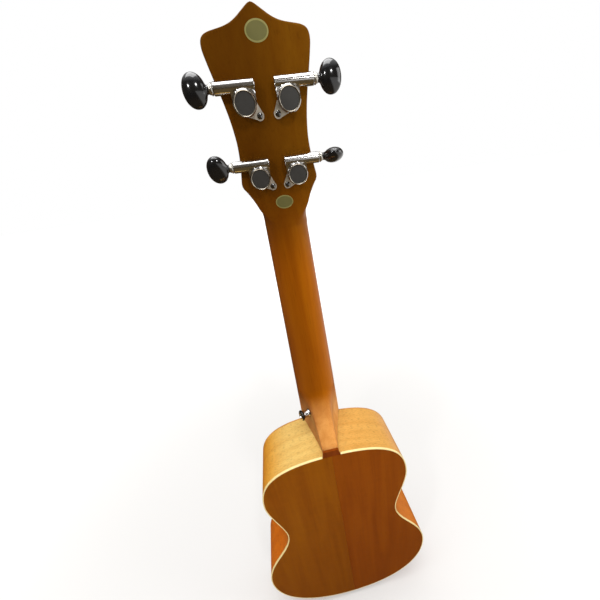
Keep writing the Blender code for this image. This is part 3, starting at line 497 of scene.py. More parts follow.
def turned(radius, height, steps):
    """Points round Z at this radius and height: one point where the radius is 0."""
    angles = [2 * pi * i / steps for i in range(steps if radius else 1)]
    return [Vector((radius * cos(a), radius * sin(a), height)) for a in angles]


def spin(profile, place, steps, bm=None):
    """A turned shape about Z: (radius, height) pairs, closed where the radius is 0."""
    bm = bm or bmesh.new()
    rings = [[bm.verts.new(place @ p) for p in turned(r, h, steps)] for r, h in profile]
    for upper, lower in zip(rings, rings[1:]):
        for i in range(steps):
            j = (i + 1) % steps
            corners = (upper[i % len(upper)], upper[j % len(upper)])
            corners += (lower[j % len(lower)], lower[i % len(lower)])
            bm.faces.new(list(dict.fromkeys(corners)))
    for ring in (rings[0], rings[-1]):
        if len(ring) > 1:
            bm.faces.new(ring)
    return bm


def hoop(section, place, steps):
    """A ring about Z whose section has these corners, as (radius, height) pairs."""
    lines = [turned(radius, height, steps) for radius, height in section]
    rows = [[place @ point for point in row] for row in zip(*lines)]
    return skin(rows + rows[:1], caps=False)


def slab(outline, front, back, place=Matrix.Identity(4)):
    """A flat plate: an outline in X and Z, from depth front to back along Y."""
    return skin([[place @ Vector((x, y, z)) for x, z in outline] for y in (front, back)])


def block(low, high, place=Matrix.Identity(4)):
    """A box between two corners."""
    bm = bmesh.new()
    size = Vector(high) - Vector(low)
    middle = Matrix.Translation((Vector(high) + Vector(low)) / 2)
    bmesh.ops.create_cube(bm, size=1, matrix=place @ middle @ Matrix.Diagonal((*size, 1)))
    return bm


def smooth_line(points, steps):
    """A Catmull-Rom curve through these points."""
    points = [Vector(p) for p in points]
    padded = [2 * points[0] - points[1], *points, 2 * points[-1] - points[-2]]
    line = []
    for before, start, end, after in zip(padded, padded[1:], padded[2:], padded[3:]):
        square = 2 * before - 5 * start + 4 * end - after
        cube = 3 * start - before - 3 * end + after
        for t in (i / steps for i in range(steps)):
            line.append(0.5 * (2 * start + (end - before) * t + square * t * t + cube * t ** 3))
    return [*line, points[-1]]


def joined(obj, *others, operation="UNION"):
    """Joins or cuts a piece's mesh with loose mesh work."""
    for other in others:
        bmesh.ops.recalc_face_normals(other, faces=other.faces)
        mesh = bpy.data.meshes.new("tool")
        other.to_mesh(mesh)
        other.free()
        tool = add_object("tool", mesh)
        step = obj.modifiers.new("join", "BOOLEAN")
        step.operation = operation
        step.object = tool
        graph = bpy.context.evaluated_depsgraph_get()
        result = bpy.data.meshes.new_from_object(obj.evaluated_get(graph))
        obj.modifiers.remove(step)
        old = obj.data
        obj.data = result
        result.name = old.name
        bpy.data.meshes.remove(old)
        bpy.data.objects.remove(tool)
        bpy.data.meshes.remove(mesh)
    obj.data.shade_smooth()
    obj.data.set_sharp_from_angle(angle=radians(SHARP))


def facing_front(x, y, z):
    """Turns a Z axis to -Y at this place."""
    return Matrix.Translation((x, y, z)) @ Matrix.Rotation(pi / 2, 4, "X")


def facing_out(x, y, z):
    """Turns a Z axis to +Y at this place."""
    return Matrix.Translation((x, y, z)) @ Matrix.Rotation(-pi / 2, 4, "X")


def facing_side(x, y, z):
    """Turns a Z axis to +X at this place."""
    return Matrix.Translation((x, y, z)) @ Matrix.Rotation(pi / 2, 4, "Y")


# The body.

# How far the edge's curve reaches along its direction out of each knot and into the next.
LEANS = ((0.0564, 0.0369), (0.0178, 0.0139), (0.0318, 0.0424), (0.0427, 0.0678))
EDGE_STEPS = 28
HALF_SEAM = 0.00003
HOLE_RADIUS = 0.029
ROUND_STEPS = 72
# Each ring round the hole: its radii, its finish and the node that it stands for.
RINGS = {
    "rosette_ring": (0.0322, 0.0343, "dark", ["rosette"]),
    "rosette_line_inner": (0.0315, 0.0322, "bone", []),
    "rosette_line_outer": (0.0343, 0.0350, "bone", []),
}
INLAY_DEEP = 0.0008


def body_edge(inset=0.0):
    """The treble half of the body's edge, from the neck joint to the tail, as (across, height)."""
    size = sizes()
    down = Vector((0, -1))
    knots = (
        (Vector((0, JOINT_Z)), Vector((1, 0))),
        (Vector((size.upper_half, JOINT_Z - size.upper_drop)), down),
        (Vector((size.waist_half, JOINT_Z - size.waist_drop)), down),
        (Vector((LOWER_HALF, JOINT_Z - size.lower_drop)), down),
        (Vector((0, TAIL_Z)), Vector((-1, 0))),
    )
    line = []
    for (start, leave), (end, arrive), (out, into) in zip(knots, knots[1:], LEANS):
        handles = (start + leave * out, end - arrive * into)
        line += interpolate_bezier(start, *handles, end, EDGE_STEPS)[:-1]
    line.append(knots[-1][0])
    moved = []
    for i, point in enumerate(line):
        along = line[min(i + 1, len(line) - 1)] - line[max(i - 1, 0)]
        inwards = Vector((along.y, -along.x)).normalized()
        if i in (0, len(line) - 1):
            inwards = Vector((0, -1 if i == 0 else 1))
        moved.append(point + inwards * inset)
    return moved


def bent_strip(outer, inner, front, back):
    """A strip bent along a line, with its length and depth in the UV map called grain."""
    bm = bmesh.new()
    layer = bm.loops.layers.uv.new("grain")
    section = ((0, front), (0, (front + back) / 2), (0, back), (1, back), (1, front))
    rows = []
    travel = 0.0
    spots = {}
    for i, (out, into) in enumerate(zip(outer, inner)):
        if i:
            travel += (out - outer[i - 1]).length
        row = []
        for share, depth in section:
            place = out.lerp(into, share)
            vertex = bm.verts.new((place.x, depth, place.y))
            spots[vertex] = (travel, depth - share * sizes().side_thick)
            row.append(vertex)
        rows.append(row)
    join_rows(bm, rows)
    for face in bm.faces:
        for loop in face.loops:
            loop[layer].uv = spots[loop.vert]
    bmesh.ops.recalc_face_normals(bm, faces=bm.faces)
    return bm


def flip_line(line):
    return [Vector((-point.x, point.y)) for point in line]


def hole_place(y):
    """The sound hole's axis, out of the soundboard from this depth."""
    low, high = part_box("rosette")
    centre = (low + high) / 2
    return facing_front(centre.x, y, centre.z)


class UKULELE_OT_body(Operator):
    """Bend the sides, lay on the two halves of the back and the soundboard, and bind the back"""

    bl_idname = "ukulele.body"
    bl_label = "Body"

    def execute(self, context):
        size = sizes()
        outer = body_edge()
        inner = body_edge(size.side_thick)
        within = body_edge(size.binding_wide)
        half = [point.copy() for point in within]
        half[0].x = half[-1].x = HALF_SEAM
        for name, turn in (("treble", list), ("bass", flip_line)):
            strip = bent_strip(turn(outer), turn(inner), TOP_IN_Y, BACK_IN_Y)
            nodes = [f"side_{name}"]
            make_piece(f"bent_side_{name}", strip, "side", "root", nodes, weld=False)
            plate = slab(turn(half), BACK_IN_Y, BACK_Y)
            coat = f"back_{name}"
            piece = make_piece(f"back_half_{name}", plate, coat, "root", [coat])
            soften(piece, 0.00012, 2)
        self.bind(outer, within)
        self.lay_top(outer)
        return {"FINISHED"}

    def bind(self, outer, inner):
        """The cream strip round the back's edge, stopping each side of the heel cap."""
        stop = CAP_HALF + GLUE
        half_way = len(outer) // 2
        keep = [i for i, point in enumerate(outer) if point.x > stop or i > half_way]
        start = outer[keep[0] - 1].lerp(outer[keep[0]], 0.5)
        within = inner[keep[0]].copy()
        start.x = within.x = stop
        line, middle = (
            half + flip_line(half[:-1])[::-1]
            for half in ([start] + [outer[i] for i in keep], [within] + [inner[i] for i in keep])
        )
        strip = bent_strip(line, middle, BACK_IN_Y, BACK_Y)
        name = "cream_binding"
        piece = make_piece(name, strip, "cream", "root", ["binding_back"], weld=False)
        soften(piece, 0.00035)

    def lay_top(self, half):
        """The soundboard with its round hole."""
        edge = half + flip_line(half[1:-1])[::-1]
        plate = slab(edge, TOP_Y, TOP_IN_Y)
        piece = make_piece("sound_board", plate, "top", stands_for=["soundboard"])
        ends = ((HOLE_RADIUS, 0.08), (HOLE_RADIUS, -0.08))
        joined(piece, spin(ends, hole_place(0), ROUND_STEPS), operation="DIFFERENCE")
        soften(piece, 0.0004)


class UKULELE_OT_rosette(Operator):
    """Inlay the rings round the sound hole"""

    bl_idname = "ukulele.rosette"
    bl_label = "Rosette"

    def execute(self, context):
        for name, (inside, outside, coat, nodes) in RINGS.items():
            section = [(inside, -INLAY_DEEP), (outside, -INLAY_DEEP)]
            section += [(outside, 0.00004), (inside, 0.00004)]
            ring = hoop(section, hole_place(TOP_Y), ROUND_STEPS)
            make_piece(name, ring, coat, stands_for=nodes)
        return {"FINISHED"}


# The neck and the head.

HEEL_SWEEP = 2.6
CHEEK_STEPS = 14
RIDGE_STEPS = 6
CORNER_STEPS = 4
HEAD_CORNER = 0.0009
HEAD_FLAT_FROM = 0.020
# Half of the head's edge, as (across, up its back face from the nut).
HEAD_EDGE = (
    (0.0180, 0.0000), (0.0177, 0.0080), (0.0184, 0.0140), (0.0203, 0.0205), (0.0229, 0.0265),
    (0.0255, 0.0312), (0.0274, 0.0340), (0.0281, 0.0368), (0.0272, 0.0420), (0.0256, 0.0510),
    (0.0247, 0.0620), (0.0254, 0.0740), (0.0273, 0.0860), (0.0295, 0.0960), (0.0313, 0.1050),
    (0.0319, 0.1095), (0.0314, 0.1128), (0.0298, 0.1149), (0.0268, 0.1162), (0.0225, 0.1170),
    (0.0180, 0.1178), (0.0137, 0.1190), (0.0096, 0.1209), (0.0052, 0.1237), (0.0018, 0.1258),
    (0.0000, 0.1263),
)


def unit(value):
    """Keeps a number between 0 and 1."""
    return min(max(value, 0), 1)


def head_frame():
    """The head's own frame: across, out behind it, and up along its back face, from the nut."""
    place = Matrix.Translation((0, TOP_Y + HEAD_DEEP, NUT_Z))
    return place @ Matrix.Rotation(-HEAD_TILT, 4, "X")


def down_neck(z):
    """How far down from the nut to the joint this height is."""
    return (NUT_Z - z) / (NUT_Z - JOINT_Z)


def neck_half(z):
    return NUT_HALF + down_neck(z) * (sizes().joint_half - NUT_HALF)


def neck_deep(z):
    """The neck's depth behind the soundboard's plane."""
    size = sizes()
    shaft = HEAD_DEEP + down_neck(z) * (size.shaft_deep - HEAD_DEEP)
    foot = CAP_INNER_Y - TOP_Y
    climb = unit((z - JOINT_Z - size.heel_rise) / size.heel_curve)
    return shaft + (foot - shaft) * (1 - climb) ** HEEL_SWEEP


def neck_section(z):
    """Half of the neck's section: a round shaft that turns into a hollow cheek and flat ridge."""
    size = sizes()
    half = neck_half(z)
    deep = neck_deep(z)
    above = max(z - JOINT_Z, 0)
    foot = CAP_INNER_Y - GLUE - TOP_Y
    heel = unit((deep - size.shaft_deep) / (foot - size.shaft_deep)) ** 0.5
    ridge = size.ridge_half + size.ridge_spread * min(above / size.heel_curve, 1)
    bow = 1.15 + 1.9 * min(above / size.cheek_rise, 1)
    points = []
    for i in range(CHEEK_STEPS + RIDGE_STEPS + 1):
        angle = pi / 2 * i / (CHEEK_STEPS + RIDGE_STEPS)
        shaft = Vector((half * abs(cos(angle)) ** 0.9, deep * sin(angle) ** 0.95))
        if i <= CHEEK_STEPS:
            down = i / CHEEK_STEPS
            across = ridge + (half - ridge) * (1 - down) ** bow
            cheek = Vector((across, (deep - size.ridge_drop) * down))
        else:
            turn = pi / 2 * (i - CHEEK_STEPS) / RIDGE_STEPS
            drop = size.ridge_drop * (1 - sin(turn) ** 0.6)
            cheek = Vector((ridge * abs(cos(turn)) ** 0.6, deep - drop))
        points.append(shaft.lerp(cheek, heel))
    points[-1].x = 0
    return points


def head_edge():
    return smooth_line(HEAD_EDGE, 5)


def edge_half(up):
    """The head's half-width at this distance up its back face."""
    line = head_edge()
    for first, second in zip(line, line[1:]):
        if first.y <= up <= second.y and second.y > first.y:
            return first.x + (second.x - first.x) * (up - first.y) / (second.y - first.y)
    return line[-1].x


def head_section(up):
    """Half of the head's section: rounded near the nut, turning into a flat plate."""
    half = edge_half(up)
    flat = unit(up / HEAD_FLAT_FROM)
    flat = flat * flat * (3 - 2 * flat)
    straight = CHEEK_STEPS - CORNER_STEPS
    points = []
    for i, (x, y) in enumerate(neck_section(NUT_Z)):
        if i <= straight:
            plate = (half, -HEAD_WOOD + (HEAD_WOOD - HEAD_CORNER) * i / straight)
        elif i <= CHEEK_STEPS:
            angle = (i - straight) / CORNER_STEPS * pi / 2
            plate = (half - HEAD_CORNER * (1 - cos(angle)), -HEAD_CORNER * (1 - sin(angle)))
        else:
            plate = ((half - HEAD_CORNER) * (1 - (i - CHEEK_STEPS) / RIDGE_STEPS), 0.0)
        rounded = (x * half / NUT_HALF, -HEAD_WOOD * (1 - y / HEAD_DEEP))
        across, out = (r * (1 - flat) + p * flat for r, p in zip(rounded, plate))
        points.append((max(across, 0), out))
    return points


def both_sides(points):
    """A half section and its mirror image, without doubling the middle."""
    return points + [(-x, y) for x, y in points[:-1]][::-1]


class UKULELE_OT_neck(Operator):
    """Carve the neck, its heel and head from one piece, and add the heel cap and the veneer"""

    bl_idname = "ukulele.neck"
    bl_label = "Neck and head"

    def execute(self, context):
        size = sizes()
        run = size.heel_rise + size.heel_curve
        heights = [JOINT_Z + 0.0001 + run * (i / 30) for i in range(31)]
        shaft = heights[-1]
        heights += [shaft + (NUT_Z - shaft) * i / 16 for i in range(1, 17)]
        rings = []
        for z in heights:
            rings.append([Vector((x, TOP_Y + y, z)) for x, y in both_sides(neck_section(z))])
        place = head_frame()
        ups = [0.0024 + 0.0012 * i for i in range(15)] + [0.0204 + 0.0019 * i for i in range(46)]
        line = head_edge()
        ups += [point.y for point in line if point.y > ups[-1] + 0.0006]
        ups[-1] -= 0.00001
        for up in ups:
            section = both_sides(head_section(up))
            rings.append([place @ Vector((x, out, up)) for x, out in section])
        make_piece("carved_neck", skin(rings), "neck", "root", ["neck"], 50)
        self.cap_heel()
        half = [tuple(point) for point in line if point.y >= 0.0030]
        plate = slab(both_sides(half), HEAD_FACE, -HEAD_WOOD, place)
        nodes = ["head_veneer"]
        soften(make_piece("head_facing", plate, "veneer", "root", nodes), 0.0003)
        return {"FINISHED"}

    def cap_heel(self):
        """The dark plate on the heel's foot."""
        size = sizes()
        low = JOINT_Z - size.binding_wide
        foot = [(CAP_HALF, low), (size.ridge_half, CAP_TOP_Z)]
        plate = slab(foot + [(-x, z) for x, z in foot][::-1], CAP_INNER_Y, BACK_Y)
        soften(make_piece("heel_plate", plate, "cap", "root", ["heel_cap"]), 0.0002)


# The fingerboard with its frets, and the nut.

# How far across the dots of each marked fret lie.
DOTS = {5: (0,), 7: (0,), 10: (0,), 12: (-0.007, 0.007), 15: (0,)}
DOT_RADIUS = 0.0028
DOT_RISE = 0.00005
FRET_INSET = 0.0002


def fret_tree(values, wire_finish):
    """Geometry Nodes that lay round-topped frets down the board by the equal-tempered rule."""
    tree = bpy.data.node_groups.new("frets", "GeometryNodeTree")
    for side in ("INPUT", "OUTPUT"):
        tree.interface.new_socket("Geometry", in_out=side, socket_type="NodeSocketGeometry")
    for label, value in values.items():
        kind = "NodeSocketInt" if isinstance(value, int) else "NodeSocketFloat"
        tree.interface.new_socket(label, in_out="INPUT", socket_type=kind)
    given = add_node(tree, "NodeGroupInput").outputs
    fret = calc(tree, "ADD", add_node(tree, "GeometryNodeInputIndex").outputs[0], 1.0)
    left = calc(tree, "POWER", 2.0, calc(tree, "DIVIDE", fret, -12.0))
    travel = calc(tree, "MULTIPLY", given["Scale"], calc(tree, "SUBTRACT", 1.0, left))
    height = calc(tree, "SUBTRACT", given["Nut Height"], travel)
    spot = add_node(tree, "ShaderNodeCombineXYZ", {"Y": given["Front"], "Z": height}).outputs[0]
    points = add_node(tree, "GeometryNodePoints", {"Count": given["Count"], "Position": spot})
    run = calc(tree, "SUBTRACT", given["Nut Height"], given["Joint Height"])
    gain = calc(tree, "SUBTRACT", given["Joint Half"], given["Nut Half"])
    widen = calc(tree, "MULTIPLY", travel, calc(tree, "DIVIDE", gain, run))
    half = calc(tree, "ADD", given["Nut Half"], widen)
    rod = {"Vertices": 20, "Depth": 2.0, "Radius": given["Wire Radius"]}
    wire = add_node(tree, "GeometryNodeMeshCylinder", rod)
    lie = {"Geometry": wire.outputs["Mesh"], "Rotation": (0, pi / 2, 0)}
    lay = add_node(tree, "GeometryNodeTransform", lie)
    flat = calc(tree, "DIVIDE", given["Wire Height"], given["Wire Radius"])
    stretch = {"X": calc(tree, "SUBTRACT", half, FRET_INSET), "Y": flat, "Z": 1.0}
    place = add_node(tree, "GeometryNodeInstanceOnPoints", {
        "Points": points.outputs[0],
        "Instance": lay.outputs[0],
        "Scale": add_node(tree, "ShaderNodeCombineXYZ", stretch).outputs[0],
    })
    real = add_node(tree, "GeometryNodeRealizeInstances", {0: place.outputs[0]})
    coat = {"Geometry": real.outputs[0], "Material": wire_finish}
    made = add_node(tree, "GeometryNodeSetMaterial", coat)
    add_node(tree, "NodeGroupOutput", {0: made.outputs[0]})
    return tree


def grown(name, tree, values, coat):
    """Runs a Geometry Nodes tree with these inputs and keeps its result as a plain piece."""
    seed = add_object(f"{name}_seed", bpy.data.meshes.new(f"{name}_seed"))
    step = seed.modifiers.new("grow", "NODES")
    step.node_group = tree
    for item in tree.interface.items_tree:
        if item.in_out == "INPUT" and item.name in values:
            step[item.identifier] = values[item.name]
    graph = bpy.context.evaluated_depsgraph_get()
    mesh = bpy.data.meshes.new_from_object(seed.evaluated_get(graph))
    bpy.data.objects.remove(seed)
    bm = bmesh.new()
    bm.from_mesh(mesh)
    bpy.data.meshes.remove(mesh)
    return make_piece(name, bm, coat, weld=False)


class UKULELE_OT_fingerboard(Operator):
    """Make the fingerboard with its frets and dots, and the nut"""

    bl_idname = "ukulele.fingerboard"
    bl_label = "Fingerboard"

    def execute(self, context):
        size = sizes()
        low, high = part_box("fingerboard")
        edge = [(NUT_HALF, high.z), (neck_half(low.z), low.z)]
        board = slab(edge + [(-x, z) for x, z in edge][::-1], low.y, TOP_Y)
        board = make_piece("finger_board", board, "dark", "root", ["fingerboard"])
        soften(board, 0.0005)
        values = {
            "Count": size.fret_count, "Scale": SCALE, "Nut Height": NUT_Z,
            "Joint Height": JOINT_Z, "Nut Half": NUT_HALF, "Joint Half": size.joint_half,
            "Front": BOARD_FRONT, "Wire Radius": size.fret_wide / 2, "Wire Height": size.fret_high,
        }
        grown("frets", fret_tree(values, finish("fret")), values, "fret")
        self.inlay_dots()
        low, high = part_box("nut")
        nut = block((low.x, low.y, low.z), (high.x, TOP_Y, high.z))
        soften(make_piece("bone_nut", nut, "bone", "root", ["nut"]), 0.0006)
        return {"FINISHED"}

    def inlay_dots(self):
        """Pearl dots half-way between a marked fret and the one before it."""
        bm = bmesh.new()
        top, foot = (DOT_RADIUS, DOT_RISE), (DOT_RADIUS, -INLAY_DEEP)
        for fret, across in DOTS.items():
            z = SADDLE_Z + SCALE * (2 ** (-(fret - 1) / 12) + 2 ** (-fret / 12)) / 2
            for x in across:
                dot = ((0, DOT_RISE), top, foot, (0, -INLAY_DEEP))
                spin(dot, facing_front(x, BOARD_FRONT, z), 28, bm)
        make_piece("pearl_dots", bm, "pearl")


# The bridge and the strings.

STRING_RADIUS = 0.0004
GROOVE_HALF = 0.0008
SADDLE_GAP = 0.0002


class UKULELE_OT_bridge(Operator):
    """Shape the bridge with its string grooves, and the saddle"""

    bl_idname = "ukulele.bridge"
    bl_label = "Bridge and saddle"

    def execute(self, context):
        low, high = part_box("bridge")
        rise = high.y - low.y
        wing = 0.45 * rise
        left = [(low.x, 0), (low.x, wing), (-0.031, wing + 0.0003), (-0.029, rise)]
        right = [(0.029, rise), (0.031, wing + 0.0003), (high.x, wing), (high.x, 0)]
        rings = [[Vector((x, TOP_Y - h, z)) for x, h in left + right] for z in (low.z, high.z)]
        piece = make_piece("carved_bridge", skin(rings), "bridge", "root", ["bridge"])
        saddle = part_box("saddle")
        gap = Vector((SADDLE_GAP, 0, SADDLE_GAP))
        start, end = saddle[0] - gap, saddle[1] + gap
        start.y = low.y - 0.01
        cutters = [block(start, end)]
        for name in TUNERS:
            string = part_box(f"string_{name}")
            treble = name in ("a", "e")
            x = string[1].x - STRING_RADIUS if treble else string[0].x + STRING_RADIUS
            corner = (x + GROOVE_HALF, TOP_Y - 0.0032, SADDLE_Z - 0.004)
            cutters.append(block((x - GROOVE_HALF, low.y - 0.01, low.z - 0.01), corner))
        joined(piece, *cutters, operation="DIFFERENCE")
        soften(piece, 0.0005, 2, 50)
        bone = make_piece("bone_saddle", block(*saddle), "bone", "root", ["saddle"])
        soften(bone, 0.0008)
        return {"FINISHED"}


class UKULELE_OT_strings(Operator):
    """Give the four strings their finish"""

    bl_idname = "ukulele.strings"
    bl_label = "Strings"

    def execute(self, context):
        for name in TUNERS:
            coat_node(f"string_{name}", "string")
        return {"FINISHED"}


# The tuners, each in its own frame: the post's axis is Y, and the key points outwards along X.

WELL_RADIUS = 0.0073
WELL_HIGH = 0.0093
TUBE_RADIUS = 0.0035
TUBE_ENDS = (-0.0079, 0.0168)
COVER_RADIUS = 0.0068
EAR_RADIUS = 0.0028
EAR_HIGH = 0.0019
EAR_STEPS = 12
KEY_START = TUBE_ENDS[1] + 0.0026
KEY_LONG = 0.0152
KEY_HALF = (0.0089, 0.0045)
COLLAR_START = TUBE_ENDS[1] + 0.0002
POST_RADIUS = 0.0030
POST_TOP = 0.0040
POST_LONG = 0.0125
BORE = 0.0033
SCREW_RADIUS = 0.0019


def joint_named(name):
    return next(joint for joint in frame["joints"] if joint["name"] == name)


def tuner_frame(name):
    joint = joint_named(f"string_post_{name}_turn")
    out = Vector(joint["axis"]).normalized()
    spot = Vector(joint["pos_m"])
    across = Vector((1 if spot.x > 0 else -1, 0, 0))
    up = Vector((1, 0, 0)).cross(out)
    return Matrix.Translation(spot) @ Matrix((across, out, up)).transposed().to_4x4()


def worm_spot(name):
    """How far out and up the key's shaft lies in the tuner's frame."""
    local = tuner_frame(name).inverted() @ Vector(joint_named(f"key_{name}_turn")["pos_m"])
    return local.y, local.z


def ear_spot(name, place):
    """Where the ear's screw is, across and up, in the tuner's frame."""
    low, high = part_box(f"tuner_screw_{name}")
    middle = place.inverted() @ ((low + high) / 2)
    return Vector((middle.x, middle.z))


def ear_outline(spot):
    """A tongue that narrows from the well to round the screw."""
    out = spot.normalized()
    across = Vector((-out.y, out.x))
    root = out * WELL_RADIUS * 0.45
    wide = across * WELL_RADIUS * 0.8
    line = [root + wide]
    for i in range(EAR_STEPS + 1):
        angle = pi / 2 - pi * i / EAR_STEPS
        line.append(spot + out * EAR_RADIUS * cos(angle) + across * EAR_RADIUS * sin(angle))
    return [*line, root - wide]


class UKULELE_OT_tuners(Operator):
    """Build the four geared tuners: housing, cover, key, post, bushing and screw"""

    bl_idname = "ukulele.tuners"
    bl_label = "Tuners"

    def execute(self, context):
        for name in TUNERS:
            place = tuner_frame(name)
            for step in (self.house, self.cover, self.key, self.post, self.bush, self.screw):
                step(name, place)
        return {"FINISHED"}

    def house(self, name, place):
        """One casting: a round well, a tube for the worm, the web between them and an ear."""
        out, up = worm_spot(name)
        start, end = TUBE_ENDS
        well = (
            (0, WELL_HIGH), (WELL_RADIUS - 0.0006, WELL_HIGH), (WELL_RADIUS, WELL_HIGH - 0.0008),
            (WELL_RADIUS, 0.0001), (0, 0.0001),
        )
        tube = (
            (0, end), (TUBE_RADIUS - 0.0004, end), (TUBE_RADIUS, end - 0.0004),
            (TUBE_RADIUS, start + 0.0004), (TUBE_RADIUS - 0.0004, start), (0, start),
        )
        web = (
            (start + 0.0003, up), (start + 0.0005, 0.0010), (-0.0054, -0.0040),
            (0.0054, -0.0040), (0.0071, 0.0010), (0.0072, up),
        )
        piece = make_piece(
            f"tuner_case_{name}", spin(well, place @ facing_out(0, 0, 0), 56), "chrome",
            stands_for=[f"housing_{name}"],
        )
        joined(
            piece,
            spin(tube, place @ facing_side(0, out, up), 40),
            slab(web, 0.0002, WELL_HIGH - 0.0016, place),
            slab(ear_outline(ear_spot(name, place)), 0.0001, EAR_HIGH, place),
        )
        coat_faces(piece, place, "ear", lambda spot: abs(spot.y - EAR_HIGH) < 0.00001)
        soften(piece, 0.0003, 2, 50)

    def cover(self, name, place):
        """The round cover: a raised bright rim round a dark sunk disc."""
        rim = COVER_RADIUS
        profile = [(radius, WELL_HIGH + rise) for radius, rise in (
            (0, 0.0010), (rim - 0.0009, 0.0009), (rim - 0.0007, 0.0014), (rim - 0.0004, 0.0016),
            (rim - 0.0001, 0.0013), (rim, 0.0008), (rim, -0.0004), (0, -0.0004),
        )]
        shape = spin(profile, place @ facing_out(0, 0, 0), 64)
        piece = make_piece(
            f"tuner_cover_{name}", shape, "rim", "root", [f"cover_{name}"], 50
        )
        disc = rim - 0.0010
        coat_faces(piece, place, "smoked", lambda s: s.xz.length < disc and s.y > WELL_HIGH)

    def key(self, name, place):
        """The oval key with its collar, on the worm's shaft."""
        out, up = worm_spot(name)
        shares = [(0.0, 0.26, 0.52), (0.06, 0.26, 0.52), (0.085, 0.29, 0.54)]
        for i in range(1, 19):
            angle = pi * i / 19
            swell = sin(angle) ** 0.92
            wide = max(swell, 0.30 if i < 3 else 0)
            thick = max(swell, 0.55 if i < 5 else 0)
            shares.append((0.54 - 0.46 * cos(angle), wide, thick))
        shares.append((1.0, 0.10, 0.10))
        turn = place @ Matrix.Translation((0, out, up)) @ Matrix.Rotation(KEY_TURNS[name], 4, "X")
        rings = []
        for along, wide, thick in shares:
            x = KEY_START + along * KEY_LONG
            round_spots = turned(1, 0, 48)
            half, deep = wide * KEY_HALF[0], thick * KEY_HALF[1]
            rings.append([turn @ Vector((x, half * p.x, deep * p.y)) for p in round_spots])
        body = f"key_{name}"
        make_piece(f"tuner_key_{name}", skin(rings), "black", body, [f"button_{name}"], 60)
        profile = (
            (0, KEY_START + 0.0006), (0.0016, KEY_START + 0.0006), (0.0016, KEY_START),
            (0.0024, KEY_START), (0.0027, KEY_START - 0.0004), (0.0027, KEY_START - 0.0011),
            (0.0032, KEY_START - 0.0014), (0.0032, COLLAR_START + 0.0003),
            (0.0029, COLLAR_START), (0.0016, COLLAR_START), (0.0016, COLLAR_START - 0.0060),
            (0, COLLAR_START - 0.0060),
        )
        collar = spin(profile, place @ facing_side(0, out, up), 36)
        make_piece(f"tuner_collar_{name}", collar, "collar", body, [f"worm_{name}"], 45)

    def post(self, name, place):
        """The string post, waisted where the string winds on."""
        low = HEAD_FACE - POST_LONG
        waist = (
            (1, 0.0062), (0.86, 0.0050), (0.80, 0.0038), (0.86, 0.0026), (1, 0.0016), (1, 0.0006),
            (0.82, 0), (0, 0),
        )
        profile = [(0, POST_TOP), (POST_RADIUS, POST_TOP)]
        profile += [(POST_RADIUS * share, low + rise) for share, rise in waist]
        pin = spin(profile, place @ facing_out(0, 0, 0), 36)
        body = f"string_post_{name}"
        make_piece(f"string_pin_{name}", pin, "chrome", body, [f"post_{name}"], 50)

    def bush(self, name, place):
        """The bushing's collar and a thin washer on the head's face."""
        sleeve = [(BORE, -0.0100), (0.0048, -0.0100), (0.0048, HEAD_FACE)]
        nut = (
            (0.0066, 0.0001), (0.0066, 0.0006), (0.0056, 0.0007), (0.0051, 0.0017),
            (0.0042, 0.0020), (BORE, 0.0020),
        )
        section = sleeve + [(radius, HEAD_FACE - rise) for radius, rise in nut]
        ring = hoop(section, place @ facing_out(0, 0, 0), 48)
        nodes = [f"bushing_{name}"]
        make_piece(f"post_collar_{name}", ring, "chrome", "root", nodes, 50)

    def screw(self, name, place):
        """The small round-headed screw through the ear, with its cross slot."""
        across, up = ear_spot(name, place)
        seat = place @ facing_out(across, EAR_HIGH, up)
        make_screw(f"ear_screw_{name}", seat, 0.0010, f"tuner_screw_{name}")


def make_screw(name, spot, rise, node):
    """A round-headed screw with a cross slot, its head on a seat at height 0."""
    radius = SCREW_RADIUS
    dome = [(radius * sin(a), rise * cos(a)) for a in (radians(12 * i) for i in range(1, 8))]
    shank = ((radius, 0), (radius * 0.5, 0), (radius * 0.5, -0.0050), (0, -0.0060))
    shape = spin(((0, rise), *dome, *shank), spot, 32)
    piece = make_piece(name, shape, "dim", "root", [node], 50)
    slots = []
    for turn in (0, pi / 2):
        corner = Vector((radius * 0.6, radius * 0.13, rise * 2))
        start = (-corner.x, -corner.y, rise * 0.35)
        slots.append(block(start, corner, spot @ Matrix.Rotation(turn + 0.4, 4, "Z")))
    joined(piece, *slots, operation="DIFFERENCE")


# Strap hardware and labels.

# The knob from its top's edge down to its foot, as (radius, height) pairs. The pin has no dish.
PIN_PROFILE = (
    (0.0023, 0.0092), (0.0026, 0.0103), (0.0032, 0.0105), (0.0044, 0.0104), (0.0054, 0.0099),
    (0.0060, 0.0089), (0.0059, 0.0081), (0.0050, 0.0074), (0.0043, 0.0066), (0.0040, 0.0056),
    (0.0039, 0.0040), (0.0039, 0.0018), (0.0041, 0.0010), (0.0046, 0.0004), (0.0046, 0.0001),
)
PIN_STEPS = 56
LABELS = {"upper": (-0.0011, 0.1149), "lower": (-0.0008, 0.0214)}
LABEL_RIM = 0.0008
LABEL_THICK = 0.00009


def seat_of(mesh):
    """The frame of a button's foot: its largest flat face gives the place and the direction."""
    faces = {}
    for face in mesh.polygons:
        key = tuple(round(part, 2) for part in face.normal)
        area, spot, normal = faces.get(key, (0, Vector(), Vector()))
        faces[key] = (
            area + face.area, spot + face.center * face.area, normal + face.normal * face.area
        )
    area, spot, normal = max(faces.values(), key=lambda entry: entry[0])
    out = -normal.normalized()
    across = out.cross(Vector((0, 0, 1))).normalized()
    turn = Matrix((across, out.cross(across), out)).transposed().to_4x4()
    return Matrix.Translation(spot / area) @ turn


